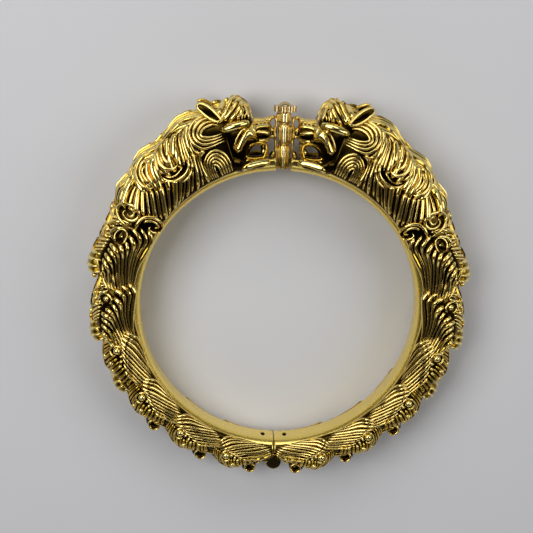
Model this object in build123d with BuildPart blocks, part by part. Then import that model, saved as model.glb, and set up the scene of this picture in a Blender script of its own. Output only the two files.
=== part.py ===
from build123d import *
from collections import namedtuple
from math import cos, degrees, radians, sin
import os

# A hinged bangle of two cast halves that end in lion heads. It lies on its side: its axis is +Z and its
# centre is the origin. The two big heads meet at the clasp, at +Y, and the hinge is at -Y. A place on it
# is an angle from the clasp, a height above the bore and a distance across the ring, along Z.
# Lengths are in millimetres and angles in degrees.

# Wrist bore and the plain liner round it
bore_radius = 30.16
liner_half_width = 4.2
liner_height = 2.7
liner_edge_radius = 2.4
vent_radius = 0.4
vent_depth = 1.0

# Cast relief
crest_height = 17.0
half_width = 7.6
corner_radius = 1.7
corner_share = 0.28
foot_share = 0.55
shoulder_share = 0.42
crest_share = 0.45

# Parting lines of the two halves
slit_gap = 0.24
running_gap = 0.15
seat_gap = 0.06

# Big head
forelock_length = 3.0
forelock_tallness = 3.0
forelock_width = 4.6
ear_length = 3.5
ear_tallness = 1.0
ear_width = 1.4
cheekbone_length = 2.6
cheekbone_tallness = 1.3
cheekbone_width = 1.7
nose_length = 1.7
nose_tallness = 1.3
nose_width = 2.6
fang_radius = 0.7
fang_length = 1.8
hair_radius = 0.62
hair_sink = 0.1
bend_share = 0.44

# Small heads
eye_radius = 1.05
eye_across = 0.88
bump_radius = 1.25
bump_root = 0.3
bump_sink = 0.025
bump_spread = 2.0
snout_radius = 1.8
snout_root = 0.4

# Clasp
screw_radius = 0.75
screw_clearance = 0.05
knuckle_radius = 1.35
knuckle_foot = 0.2
knuckle_top = 12.4
lug_top = 10.8
lug_half_thickness = 1.6
lug_reach = 3.9
knuckle_arm = 1.1
lug_window_radius = 0.42
lug_window_length = 2.4
lug_window_offset = 2.45
flower_radius = 1.7
petal_radius = 0.8
petal_count = 7
flower_thickness = 1.2
dome_radius = 1.7

# Hinge
hinge_height = 4.9
barrel_radius = 1.75
barrel_half_length = 4.4
middle_share = 0.34
hinge_leaf = 2.6
hinge_pin_radius = 0.8
hinge_pin_clearance = 0.05
rivet_radius = 1.3
rivet_thickness = 0.4

# Sections of the relief: an angle, then shares of crest_height and of half_width
Section = namedtuple("Section", "angle foot crest width")
mane_front = [
    Section(angle=14.0, foot=0.10, crest=0.72, width=0.80),
    Section(angle=19.0, foot=0.09, crest=0.93, width=0.93),
    Section(angle=25.5, foot=0.09, crest=1.00, width=1.00),
    Section(angle=32.0, foot=0.09, crest=0.93, width=1.00),
    Section(angle=38.5, foot=0.09, crest=0.88, width=0.98),
]
mane_middle = [
    Section(angle=33.0, foot=0.09, crest=0.76, width=0.96),
    Section(angle=39.0, foot=0.09, crest=0.85, width=1.00),
    Section(angle=44.5, foot=0.09, crest=0.90, width=0.99),
    Section(angle=49.5, foot=0.09, crest=0.83, width=0.95),
]
mane_back = [
    Section(angle=46.0, foot=0.09, crest=0.72, width=0.92),
    Section(angle=51.5, foot=0.09, crest=0.83, width=0.95),
    Section(angle=57.5, foot=0.09, crest=0.78, width=0.93),
]
upper_jaw = [
    Section(angle=4.6, foot=0.42, crest=0.64, width=0.48),
    Section(angle=9.0, foot=0.39, crest=0.66, width=0.60),
    Section(angle=12.5, foot=0.30, crest=0.68, width=0.76),
    Section(angle=17.0, foot=0.12, crest=0.78, width=0.90),
]
lower_jaw = [
    Section(angle=4.6, foot=0.07, crest=0.18, width=0.42),
    Section(angle=9.0, foot=0.07, crest=0.20, width=0.52),
    Section(angle=12.0, foot=0.07, crest=0.24, width=0.66),
    Section(angle=17.0, foot=0.08, crest=0.50, width=0.88),
]

# Small heads down each half: angles, then shares of crest_height and of half_width
SmallHead = namedtuple("SmallHead", "start eye muzzle nape brow nose eye_up width")
small_heads = [
    SmallHead(start=56.0, eye=64.5, muzzle=75.5, nape=0.72, brow=0.68, nose=0.75, eye_up=0.46, width=0.95),
    SmallHead(start=79.5, eye=86.6, muzzle=98.0, nape=0.50, brow=0.585, nose=0.69, eye_up=0.41, width=0.91),
    SmallHead(start=101.0, eye=105.8, muzzle=117.0, nape=0.43, brow=0.53, nose=0.605, eye_up=0.35, width=0.87),
    SmallHead(start=120.0, eye=125.0, muzzle=135.5, nape=0.38, brow=0.485, nose=0.55, eye_up=0.305, width=0.83),
    SmallHead(start=138.5, eye=144.0, muzzle=153.5, nape=0.34, brow=0.45, nose=0.52, eye_up=0.26, width=0.79),
    SmallHead(start=156.5, eye=162.6, muzzle=171.0, nape=0.31, brow=0.41, nose=0.49, eye_up=0.235, width=0.75),
]
hinge_end = Section(angle=179.4, foot=0.03, crest=0.27, width=0.70)

# Sections of one small head's cheeks and snout: shares of its own foot, crest and width
Share = namedtuple("Share", "foot crest width")
nape_share = Share(foot=0.12, crest=1.00, width=0.88)
cheek_share = Share(foot=0.12, crest=1.00, width=1.00)
chin_share = Share(foot=0.12, crest=0.96, width=0.92)
notch_share = Share(foot=0.12, crest=0.92, width=0.84)
snout_root_share = Share(foot=0.50, crest=0.93, width=0.62)
snout_share = Share(foot=0.60, crest=1.00, width=0.50)
snout_tip_share = Share(foot=0.62, crest=0.94, width=0.36)
notch_overlap = 0.6

# Round details: an angle, shares of crest_height and half_width, and a lean in degrees
Spot = namedtuple("Spot", "angle height across lean")
ear_place = Spot(angle=19.6, height=0.86, across=0.62, lean=42)
cheekbone_place = Spot(angle=14.2, height=0.62, across=0.60, lean=12)
fang_place = Spot(angle=7.2, height=0.255, across=0.34, lean=0)
forelock_place = Spot(angle=13.8, height=0.79, across=0.0, lean=0)
nose_place = Spot(angle=6.4, height=0.58, across=0.0, lean=0)

# Locks of hair and folds on the flank: angles, and shares of crest_height
Lock = namedtuple("Lock", "angle height")
ear_curl = [Lock(16.5, 0.68), Lock(22.5, 0.75), Lock(27.0, 0.64), Lock(25.0, 0.45), Lock(17.5, 0.46)]
jaw_curl = [Lock(17.4, 0.14), Lock(18.2, 0.33), Lock(22.0, 0.40), Lock(25.6, 0.34), Lock(27.2, 0.15)]
front_hook = [Lock(29.0, 0.84), Lock(38.0, 0.76), Lock(42.5, 0.50), Lock(36.5, 0.44)]
middle_hook = [Lock(37.0, 0.82), Lock(45.5, 0.70), Lock(48.0, 0.46), Lock(43.5, 0.36)]
lip_fold = [Lock(10.4, 0.56), Lock(13.0, 0.48), Lock(14.8, 0.29)]
lower_lip = [Lock(5.2, 0.155), Lock(10.0, 0.17), Lock(14.6, 0.11)]
flank_locks = [ear_curl, jaw_curl, front_hook, middle_hook, lip_fold, lower_lip]

hinge_vent_angle = 175.4
side_vent_angles = [88.0, 123.0]
side_vent_across = 0.6
lower_joint_share = 0.41
upper_joint_share = 0.78


def station(angle):
    """The plane across the ring at an angle: its X points outwards and its Y along the ring's axis."""
    turn = radians(angle)
    return Plane(origin=(0, 0, 0), x_dir=(sin(turn), cos(turn), 0), z_dir=(cos(turn), -sin(turn), 0))


def place(angle, height, across=0.0):
    """The point at an angle from the clasp, a height above the bore and a distance across the ring."""
    reach = bore_radius + height
    return (reach * sin(radians(angle)), reach * cos(radians(angle)), across)


def vent_plane(angle, across):
    """The plane of a vent hole's mouth, just inside the bore; its Z points outwards."""
    outwards = (sin(radians(angle)), cos(radians(angle)), 0)
    return Plane(origin=place(angle, -vent_depth, across), x_dir=(0, 0, 1), z_dir=outwards)


def egg(row):
    """A rounded section, narrow at its foot and widest a little below its middle."""
    foot = row.foot * crest_height
    crest = row.crest * crest_height
    width = row.width * half_width
    tall = crest - foot
    shoulder = bore_radius + foot + shoulder_share * tall
    with BuildSketch(station(row.angle)) as sketch:
        with BuildLine():
            Polyline(
                (bore_radius + foot, -foot_share * width),
                (shoulder, -width),
                (bore_radius + crest, -crest_share * width),
                (bore_radius + crest, crest_share * width),
                (shoulder, width),
                (bore_radius + foot, foot_share * width),
                close=True,
            )
        make_face()
        fillet(sketch.vertices(), radius=min(corner_radius, corner_share * tall, corner_share * width))
    return sketch.sketch


def shared(angle, crest, width, share):
    """A section whose sizes are shares of a small head's crest and width."""
    return Section(angle, share.foot * crest, share.crest * crest, share.width * width)


def cheek_rows(head, after):
    """The cheeks and mane of a small head, from its nape to the nape that comes after it."""
    return [
        shared(head.start, head.nape, head.width, nape_share),
        shared(head.eye, head.brow, head.width, cheek_share),
        shared(head.muzzle, head.brow, head.width, chin_share),
        shared(after.angle + notch_overlap, after.crest, after.width, notch_share),
    ]


def snout_rows(head):
    """The snout of a small head, which stands out beyond its cheeks."""
    root = head.eye + snout_root * (head.muzzle - head.eye)
    tip = head.muzzle + degrees(snout_radius / bore_radius)
    return [
        shared(root, head.brow, head.width, snout_root_share),
        shared(head.muzzle, head.nose, head.width, snout_share),
        shared(tip, head.nose, head.width, snout_tip_share),
    ]


def blob(spot, length, tall, wide):
    """An ellipsoid set on the ring at a spot; the spot's lean tips its length outwards."""
    centre = (bore_radius + spot.height * crest_height, spot.across * half_width, 0)
    seat = Location(centre, (0, spot.lean, 0))
    ball = scale(Sphere(1, mode=Mode.PRIVATE), by=(tall, wide, length), mode=Mode.PRIVATE)
    return station(spot.angle).location * seat * ball


def flank(angle, height):
    """How far the big head's flank stands across the ring, at an angle and a share of crest_height."""
    widest = 0.0
    for rows in (mane_front, mane_middle, mane_back, upper_jaw, lower_jaw):
        for near, far in zip(rows, rows[1:]):
            if near.angle <= angle <= far.angle:
                part = (angle - near.angle) / (far.angle - near.angle)
                foot = near.foot + part * (far.foot - near.foot)
                crest = near.crest + part * (far.crest - near.crest)
                width = near.width + part * (far.width - near.width)
                shoulder = foot + shoulder_share * (crest - foot)
                if foot <= height <= shoulder:
                    share = foot_share + (1 - foot_share) * (height - foot) / (shoulder - foot)
                    widest = max(widest, share * width)
                elif shoulder < height <= crest:
                    share = 1 - (1 - crest_share) * (height - shoulder) / (crest - shoulder)
                    widest = max(widest, share * width)
    return widest * half_width


def lock(rows):
    """A round lock of hair that lies on the flank through a table of places, with easy bends."""
    points = [
        Vector(*place(row.angle, row.height * crest_height, flank(row.angle, row.height) - hair_sink))
        for row in rows
    ]
    bends = []
    for before, corner, after in zip(points, points[1:], points[2:]):
        half_turn = radians((corner - before).get_angle(after - corner)) / 2
        run = min((corner - before).length, (after - corner).length)
        bends.append(bend_share * run * cos(half_turn) / sin(half_turn))
    path = FilletPolyline(*points, radius=bends, mode=Mode.PRIVATE)
    start = Plane(origin=path @ 0, z_dir=path % 0)
    return sweep(start * Circle(hair_radius, mode=Mode.PRIVATE), path=path, mode=Mode.PRIVATE)


napes = [Section(head.start, 0, head.nape, head.width) for head in small_heads]
side_details = [lock(rows) for rows in flank_locks]
side_details += [
    blob(ear_place, ear_length, ear_tallness, ear_width),
    blob(cheekbone_place, cheekbone_length, cheekbone_tallness, cheekbone_width),
    blob(fang_place, fang_radius, fang_length, fang_radius),
]
ridge_details = [
    blob(forelock_place, forelock_length, forelock_tallness, forelock_width),
    blob(nose_place, nose_length, nose_tallness, nose_width),
]
for head in small_heads:
    shrink = head.nose / small_heads[0].nose
    eye = shrink * eye_radius
    bump = shrink * bump_radius
    eye_place = Spot(head.eye, head.eye_up, eye_across * head.width, 0)
    bump_place = Spot(head.eye + bump_root * (head.muzzle - head.eye), head.brow - bump_sink, 0, 0)
    side_details.append(blob(eye_place, eye, eye, eye))
    ridge_details.append(blob(bump_place, bump, bump, bump_spread * bump))

# Heights of the clasp's knuckles above the bore, and the knuckles of the hinge along the ring's axis
knuckle_length = knuckle_top - knuckle_foot
lower_joint = knuckle_foot + lower_joint_share * knuckle_length
upper_joint = knuckle_foot + upper_joint_share * knuckle_length
lug_start = knuckle_radius + running_gap
hinge_reach = bore_radius + hinge_height
middle_end = middle_share * barrel_half_length
outer_start = middle_end + running_gap


def clasp_plane(height):
    """The plane across the clasp's axis at a height above the bore; its Z points outwards."""
    return Plane(origin=(0, bore_radius + height, 0), x_dir=(1, 0, 0), z_dir=(0, 1, 0))


# One cast half, on the +X side, still without its knuckles
with BuildPart() as casting:
    with BuildSketch(station(0)) as liner_profile:
        with Locations((bore_radius + liner_height / 2, 0)):
            Rectangle(liner_height, 2 * liner_half_width)
        fillet(liner_profile.vertices().sort_by(Axis.X)[:2], radius=liner_edge_radius)
    revolve(axis=Axis.Z, revolution_arc=-180)
    for rows in (mane_front, mane_middle, mane_back, upper_jaw, lower_jaw):
        loft(sections=[egg(row) for row in rows])
    for head, after in zip(small_heads, napes[1:] + [hinge_end]):
        loft(sections=[egg(row) for row in cheek_rows(head, after)])
        loft(sections=[egg(row) for row in snout_rows(head)])
    add(ridge_details)
    add(side_details)
    add([mirror(detail, about=Plane.XY, mode=Mode.PRIVATE) for detail in side_details])

    # The pierced lug that reaches from the jaws towards the clasp's knuckles
    with BuildSketch(Plane.XY) as lug_profile:
        with Locations((0, bore_radius + knuckle_foot)):
            Rectangle(lug_reach, lug_top - knuckle_foot, align=(Align.MIN, Align.MIN))
    extrude(amount=lug_half_thickness, both=True)
    with BuildSketch(Plane.XY) as lug_windows:
        with Locations((lug_window_offset, bore_radius + upper_joint)):
            Circle(lug_window_radius)
        with Locations((lug_window_offset, bore_radius + lower_joint - 0.5 * lug_window_length)):
            SlotOverall(lug_window_length, 2 * lug_window_radius, rotation=90)
    extrude(amount=half_width, both=True, mode=Mode.SUBTRACT)

    # The parting line, cut clear of the clasp's knuckles and at the hinge's slit
    with Locations((0, bore_radius + crest_height / 2, 0)):
        Box(2 * lug_start, 2 * crest_height, 2 * crest_height, mode=Mode.SUBTRACT)
    with Locations((0, -hinge_reach, 0)):
        Box(slit_gap, 2 * crest_height, 2 * crest_height, mode=Mode.SUBTRACT)

    # The vent hole beside the hinge
    with BuildSketch(vent_plane(hinge_vent_angle, 0)):
        Circle(vent_radius)
    extrude(amount=2 * vent_depth, mode=Mode.SUBTRACT)

# The half on the +X side, with the middle knuckles of the clasp and the hinge
with BuildPart() as right_half:
    add(casting.part)
    for angle in side_vent_angles:
        with BuildSketch(vent_plane(angle, side_vent_across)):
            Circle(vent_radius)
        extrude(amount=2 * vent_depth, mode=Mode.SUBTRACT)
    for side in (1, -1):
        with BuildSketch(Plane.XY.offset(side * middle_end)):
            with Locations((0, -hinge_reach)):
                Circle(barrel_radius + running_gap)
        extrude(amount=side * crest_height, mode=Mode.SUBTRACT)
    with BuildSketch(Plane.XY) as middle_leaf:
        with Locations((0, -hinge_reach)):
            Circle(barrel_radius)
        with Locations((slit_gap / 2, -hinge_reach)):
            Rectangle(hinge_leaf, hinge_height - liner_height, align=(Align.MIN, Align.MIN))
    extrude(amount=middle_end, both=True)
    with BuildSketch(clasp_plane(lower_joint + running_gap)) as middle_knuckle:
        Circle(knuckle_radius)
        Rectangle(2 * lug_start, 2 * knuckle_arm, align=(Align.MIN, Align.CENTER))
    extrude(amount=upper_joint - lower_joint - running_gap)
    with BuildSketch(clasp_plane(lower_joint)):
        Circle(screw_radius + screw_clearance)
    extrude(amount=knuckle_length, mode=Mode.SUBTRACT)
    with BuildSketch(Plane.XY):
        with Locations((0, -hinge_reach)):
            Circle(hinge_pin_radius + hinge_pin_clearance)
    extrude(amount=crest_height, both=True, mode=Mode.SUBTRACT)

# The half on the -X side, with the outer knuckles of the clasp and the hinge
with BuildPart() as left_half:
    add(mirror(casting.part, about=Plane.YZ, mode=Mode.PRIVATE))
    with BuildSketch(Plane.XY):
        with Locations((0, -hinge_reach)):
            Circle(barrel_radius + running_gap)
    extrude(amount=outer_start, both=True, mode=Mode.SUBTRACT)
    for side in (1, -1):
        with BuildSketch(Plane.XY.offset(side * outer_start)) as outer_leaf:
            with Locations((0, -hinge_reach)):
                Circle(barrel_radius)
            with Locations((-slit_gap / 2, -hinge_reach)):
                Rectangle(hinge_leaf, hinge_height - liner_height, align=(Align.MAX, Align.MIN))
        extrude(amount=side * (barrel_half_length - outer_start))
    for low, high in ((knuckle_foot, lower_joint), (upper_joint + running_gap, knuckle_top)):
        with BuildSketch(clasp_plane(low)) as outer_knuckle:
            Circle(knuckle_radius)
            Rectangle(2 * lug_start, 2 * knuckle_arm, align=(Align.MAX, Align.CENTER))
        extrude(amount=high - low)
    with BuildSketch(clasp_plane(0)):
        Circle(screw_radius + screw_clearance)
    extrude(amount=crest_height, mode=Mode.SUBTRACT)
    with BuildSketch(Plane.XY):
        with Locations((0, -hinge_reach)):
            Circle(hinge_pin_radius + hinge_pin_clearance)
    extrude(amount=crest_height, both=True, mode=Mode.SUBTRACT)

# The screw that pins the clasp, with its flower head at the outside
with BuildPart() as clasp_screw:
    head_seat = knuckle_top + seat_gap
    with BuildSketch(clasp_plane(knuckle_foot + seat_gap)):
        Circle(screw_radius)
    extrude(amount=head_seat - knuckle_foot)
    with BuildSketch(clasp_plane(head_seat)):
        Circle(flower_radius)
        with PolarLocations(flower_radius, petal_count):
            Circle(petal_radius)
    extrude(amount=flower_thickness)
    with Locations(clasp_plane(head_seat + flower_thickness)):
        Sphere(dome_radius, arc_size1=0)

# The hinge pin, riveted at both ends
with BuildPart() as hinge_pin:
    rivet_seat = barrel_half_length + seat_gap
    with BuildSketch(Plane.XY):
        with Locations((0, -hinge_reach)):
            Circle(hinge_pin_radius)
    extrude(amount=rivet_seat + rivet_thickness, both=True)
    for side in (1, -1):
        with BuildSketch(Plane.XY.offset(side * rivet_seat)):
            with Locations((0, -hinge_reach)):
                Circle(rivet_radius)
        extrude(amount=side * rivet_thickness)

right_half.part.label = "right_half"
left_half.part.label = "left_half"
clasp_screw.part.label = "clasp_screw"
hinge_pin.part.label = "hinge_pin"

os.makedirs("parts", exist_ok=True)
export_step(right_half.part, "parts/right_half.step")
export_step(left_half.part, "parts/left_half.step")
export_step(clasp_screw.part, "parts/clasp_screw.step")
export_step(hinge_pin.part, "parts/hinge_pin.step")
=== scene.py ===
# %% [markdown]
# A hinged bangle with two lion heads, cast in a bright gold-coloured metal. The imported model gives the
# frame: two cast halves, the screw that closes them and the pin of the hinge. Everything below is laid
# over those solids, in metres, and rides on the body that it belongs to.

# %% Load the frame
from collections import namedtuple

import bpy
import numpy as np
from mathutils import Matrix


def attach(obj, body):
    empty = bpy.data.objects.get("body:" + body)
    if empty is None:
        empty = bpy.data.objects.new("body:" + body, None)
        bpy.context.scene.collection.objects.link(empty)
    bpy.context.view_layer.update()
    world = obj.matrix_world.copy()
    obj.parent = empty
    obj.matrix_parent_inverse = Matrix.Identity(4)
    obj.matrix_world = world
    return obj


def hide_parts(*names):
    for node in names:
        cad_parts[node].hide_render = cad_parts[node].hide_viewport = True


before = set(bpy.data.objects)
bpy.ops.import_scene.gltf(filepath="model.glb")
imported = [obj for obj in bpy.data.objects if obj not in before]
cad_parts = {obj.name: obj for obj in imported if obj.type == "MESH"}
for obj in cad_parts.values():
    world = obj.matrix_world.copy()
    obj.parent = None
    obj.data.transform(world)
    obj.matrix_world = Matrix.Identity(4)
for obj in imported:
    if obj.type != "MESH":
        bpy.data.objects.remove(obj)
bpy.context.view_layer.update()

# %% [markdown]
# The photograph looks down at the bangle where it lies on its side, a little from the clasp's side. The
# camera could be set by eye, but its three turns and place were worked out from the round bore and from
# pairs of matching features.

# %% Camera
MM = 0.001
TILT = 13.596
ROLL = 1.382
SPIN = -1.867
CAMERA_PLACE = (-11.63, 75.06, 275.70)
SENSOR = 36.0
LENS = 87.805
NEAREST_SHOWN = 0.01
FARTHEST_SHOWN = 10.0


def place(name, data):
    """An object round its data, linked into the scene."""
    thing = bpy.data.objects.new(name, data)
    bpy.context.scene.collection.objects.link(thing)
    return thing


def add_camera():
    """The camera's turn undoes a spin about Z, a roll about Y and a tilt about X, in that order."""
    data = bpy.data.cameras.new("camera")
    data.sensor_width = SENSOR
    data.lens = LENS
    data.clip_start = NEAREST_SHOWN
    data.clip_end = FARTHEST_SHOWN
    camera = place("camera", data)
    turn = Matrix.Rotation(np.radians(TILT), 4, "X") @ Matrix.Rotation(np.radians(ROLL), 4, "Y")
    turn = turn @ Matrix.Rotation(np.radians(SPIN), 4, "Z")
    camera.matrix_world = Matrix.Translation([MM * c for c in CAMERA_PLACE]) @ turn.transposed()
    bpy.context.scene.camera = camera
    return camera


camera = add_camera()
print("camera at", [round(c, 4) for c in camera.location])

# %% [markdown]
# Every place on the bangle is an angle from the clasp, a height above the bore and a distance across
# the ring. One function turns such places into points, for whole arrays at once, so that every piece
# below can be written as a shape on a straight strip.

# %% Places on the ring
BORE_RADIUS = 30.16


def ring(angle, up, across):
    """Angle from the clasp in degrees, height above the bore and distance across, in mm, to metres."""
    turn = np.radians(angle)
    reach = BORE_RADIUS + up
    return MM * np.stack(np.broadcast_arrays(reach * np.sin(turn), reach * np.cos(turn), across), -1)


def spline(rows, count):
    """A Catmull-Rom curve through the rows, read at count even steps; every column is carried alike."""
    rows = np.asarray(rows, float)
    first = 2 * rows[:1] - rows[1:2]
    last = 2 * rows[-1:] - rows[-2:-1]
    knots = np.concatenate([first, rows, last])
    at = np.linspace(0, len(rows) - 1, count)
    i = np.minimum(at.astype(int), len(rows) - 2)
    t = (at - i)[:, None]
    a, b, c, d = knots[i], knots[i + 1], knots[i + 2], knots[i + 3]
    return 0.5 * (2 * b + (c - a) * t + (2 * a - 5 * b + 4 * c - d) * t**2 + (3 * b - a - 3 * c + d) * t**3)


print("the clasp's middle, in metres:", ring(0.0, 6.0, 0.0).round(4))

# %% [markdown]
# The cast relief is a core with hair laid on it. The core's section is a superellipse whose foot, crest
# and half width change along the ring. A skin knows how to put a point on that core, or a little above
# it, and that is all that the locks, folds and eyes need to know about what carries them. A sculpted mesh
# would look as lively, but couldn't be read or changed by its sizes.

# %% Skins
FULLNESS = 0.75
LOW_FULLNESS = 0.28
FULLNESS_CHANGE = 1.2
SMOOTHING = 1.2
TABLE_STEP = 0.1
LOWEST = 0.6
SOFTNESS = 0.15
LEAST_COSINE = 0.06


class Skin:
    """A core whose section is up = middle + half * sin(phi), across = width * cos(phi) ** fullness."""

    def __init__(self, rows, smoothing=SMOOTHING):
        """Each row is an angle, the foot's and the crest's height above the bore, and the half width.

        The rows' straight runs are rounded by a moving average over twice the smoothing, in degrees."""
        table = np.array(rows, float)
        self.first, self.last = table[0, 0], table[-1, 0]
        self.angles = np.arange(self.first, self.last + TABLE_STEP, TABLE_STEP)
        weights = np.hanning(2 * int(smoothing / TABLE_STEP) + 3)[1:-1]
        weights /= weights.sum()
        pad = len(weights) // 2
        self.columns = []
        for column in table.T[1:]:
            straight = np.interp(self.angles, table[:, 0], column)
            padded = np.pad(straight, pad, mode="reflect", reflect_type="odd")
            self.columns.append(np.convolve(padded, weights, mode="valid"))

    def sizes(self, angle):
        """Middle height, half height and half width of the section at an angle."""
        foot, crest, width = (np.interp(angle, self.angles, column) for column in self.columns)
        return (foot + crest) / 2, (crest - foot) / 2, width

    def phi(self, angle, up):
        """The section's own angle of a point of the flank, from its height."""
        middle, half, _ = self.sizes(angle)
        return np.arcsin(np.clip((up - middle) / half, -0.9995, 0.9995))

    def power(self, phi):
        """The section is fuller below its middle than above it."""
        share = np.clip(0.5 + FULLNESS_CHANGE * np.sin(phi), 0, 1)
        return LOW_FULLNESS + (FULLNESS - LOW_FULLNESS) * share

    def stretch(self, angle, phi):
        """How many mm of the section one radian of phi is."""
        _, half, width = self.sizes(angle)
        power = self.power(phi)
        cosine = np.maximum(np.abs(np.cos(phi)), LEAST_COSINE)
        side = width * power * cosine ** (power - 1) * np.sin(phi)
        return np.sqrt((half * np.cos(phi)) ** 2 + side**2)

    def point(self, angle, phi, height=0.0):
        """The core's point at an angle and phi, raised along the section's normal.

        A soft maximum, (up + lowest + sqrt((up - lowest)^2 + soft^2)) / 2, keeps it off the wrist."""
        middle, half, width = self.sizes(angle)
        cosine, sine = np.cos(phi), np.sin(phi)
        size = np.maximum(np.abs(cosine), 1e-4)
        power = self.power(phi)
        across = width * np.sign(cosine) * size**power
        slope_up = width * power * size ** (power - 1) * sine
        slope_across = half * cosine
        length = np.hypot(slope_up, slope_across)
        up = middle + half * sine + height * slope_up / length
        up = (up + LOWEST + np.sqrt((up - LOWEST) ** 2 + SOFTNESS**2)) / 2
        return ring(angle, up, across + height * slope_across / length)


print("a plain skin's sizes at 5 degrees:", Skin([(0, 0, 2, 1), (10, 0, 4, 2)]).sizes(5.0))

# %% [markdown]
# A piece of many locks is one mesh. Each lock is a closed tube of rings, and the signed volume that its
# faces enclose tells whether they point outwards. Each vertex also keeps how high it lies in the relief,
# from 0 in a groove to 1 on a ridge, and the metal's colour reads that as painted shade: a low value paints
# a vertex dark where shade falls, in grooves and crevices, and is also set low for sockets, nostrils and
# holes.

# %% Meshes from arrays
class Casting:
    """Closed tubes gathered into one mesh, with a value for each vertex, low in hollows and high on ridges,
    that paints its shade.
    """

    def __init__(self):
        self.points, self.relief, self.quads, self.tris, self.count = [], [], [], [], 0

    def add(self, rings, relief, loop=False):
        """rings is steps by around by 3. Each ring closes on itself, and a fan closes each end.

        With loop, the last ring joins the first and there are no ends."""
        if loop:
            rings, relief = np.concatenate([rings, rings[:1]]), np.concatenate([relief, relief[:1]])
        steps, around, _ = rings.shape
        points = np.concatenate([rings.reshape(-1, 3), rings[:1].mean(1), rings[-1:].mean(1)])
        values = np.concatenate([relief.ravel(), relief[:1].mean(1), relief[-1:].mean(1)])
        i, j = np.meshgrid(np.arange(steps - 1), np.arange(around), indexing="ij")
        k = (j + 1) % around
        quads = np.stack([i * around + j, i * around + k, (i + 1) * around + k, (i + 1) * around + j], -1)
        quads = quads.reshape(-1, 4)
        j = np.arange(around)
        k = (j + 1) % around
        low = np.stack([np.full(around, steps * around), k, j], -1)
        end = (steps - 1) * around
        high = np.stack([np.full(around, steps * around + 1), end + j, end + k], -1)
        tris = np.concatenate([low, high])
        split = np.concatenate([quads[:, [0, 1, 2]], quads[:, [0, 2, 3]], tris])
        a, b, c = (points[split[:, n]] for n in range(3))
        if (a * np.cross(b, c)).sum() < 0:
            quads, tris = quads[:, ::-1], tris[:, ::-1]
        self.points.append(points)
        self.relief.append(values)
        self.quads.append(quads + self.count)
        self.tris.append(tris + self.count)
        self.count += len(points)

    def add_both(self, rings, relief):
        """The tube and its mirror image on the other flank."""
        self.add(rings, relief)
        self.add(rings * [1, 1, -1], relief)

    def make(self, name, body, material, mirrored=False):
        """Turns the arrays into a mesh object; mirrored puts it on the -X half."""
        points = np.concatenate(self.points)
        quads, tris = np.concatenate(self.quads), np.concatenate(self.tris)
        if mirrored:
            points = points * [-1, 1, 1]
            quads, tris = quads[:, ::-1], tris[:, ::-1]
        mesh = bpy.data.meshes.new(name)
        mesh.vertices.add(len(points))
        mesh.vertices.foreach_set("co", points.astype(np.float32).ravel())
        corners = np.concatenate([quads.ravel(), tris.ravel()])
        mesh.loops.add(len(corners))
        mesh.loops.foreach_set("vertex_index", corners.astype(np.int32))
        starts = np.concatenate([4 * np.arange(len(quads)), 4 * len(quads) + 3 * np.arange(len(tris))])
        mesh.polygons.add(len(starts))
        mesh.polygons.foreach_set("loop_start", starts.astype(np.int32))
        mesh.update(calc_edges=True)
        mesh.shade_smooth()
        # This value is painted shade: the finish's colour darkens a vertex as the value falls.
        relief = mesh.attributes.new("relief", "FLOAT", "POINT")
        relief.data.foreach_set("value", np.concatenate(self.relief).astype(np.float32))
        mesh.materials.append(material)
        piece = place(name, mesh)
        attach(piece, body)
        print(name, len(quads) * 2 + len(tris), "triangles", "bad" if mesh.validate() else "")
        return piece


trial = Casting()
square = np.array([[0, 1, 1, 0], [1, 1, 2, 2]])
trial.add(np.stack([ring(*square, across) for across in (-1, 1)]), np.ones((2, 4)))
print("a box of two square rings:", trial.count, "points,", len(trial.quads[0]), "quads")

# %% [markdown]
# Polished cast metal is bright on its ridges, where it was buffed. Towards its grooves its colour runs
# through a
# darker orange to near black: painted shade where the light doesn't reach, over the brown of metal that the
# polish missed. A flat gold would lose both, and painted textures would need an unwrapped mesh. Colour driven
# by the relief value needs neither, with a fine casting grain as bump. The inner band is satin from handling,
# and has its own finish.

# %% Finishes
GROOVE_SHADE_ENDS = 0.18
FLANK_SHADE_AT = 0.576
RIDGE_STARTS = 0.90
WEAR_SIZE = 8.0
GRAIN_DEPTH = 0.1


def noise(nodes, links, where, size, detail):
    """Cloudy noise in the object's own coordinates, whose clouds are about size mm apart."""
    texture = nodes.new("ShaderNodeTexNoise")
    texture.inputs["Scale"].default_value = 1 / (size * MM)
    texture.inputs["Detail"].default_value = detail
    links.new(where.outputs["Object"], texture.inputs["Vector"])
    return texture.outputs["Fac"]


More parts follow.
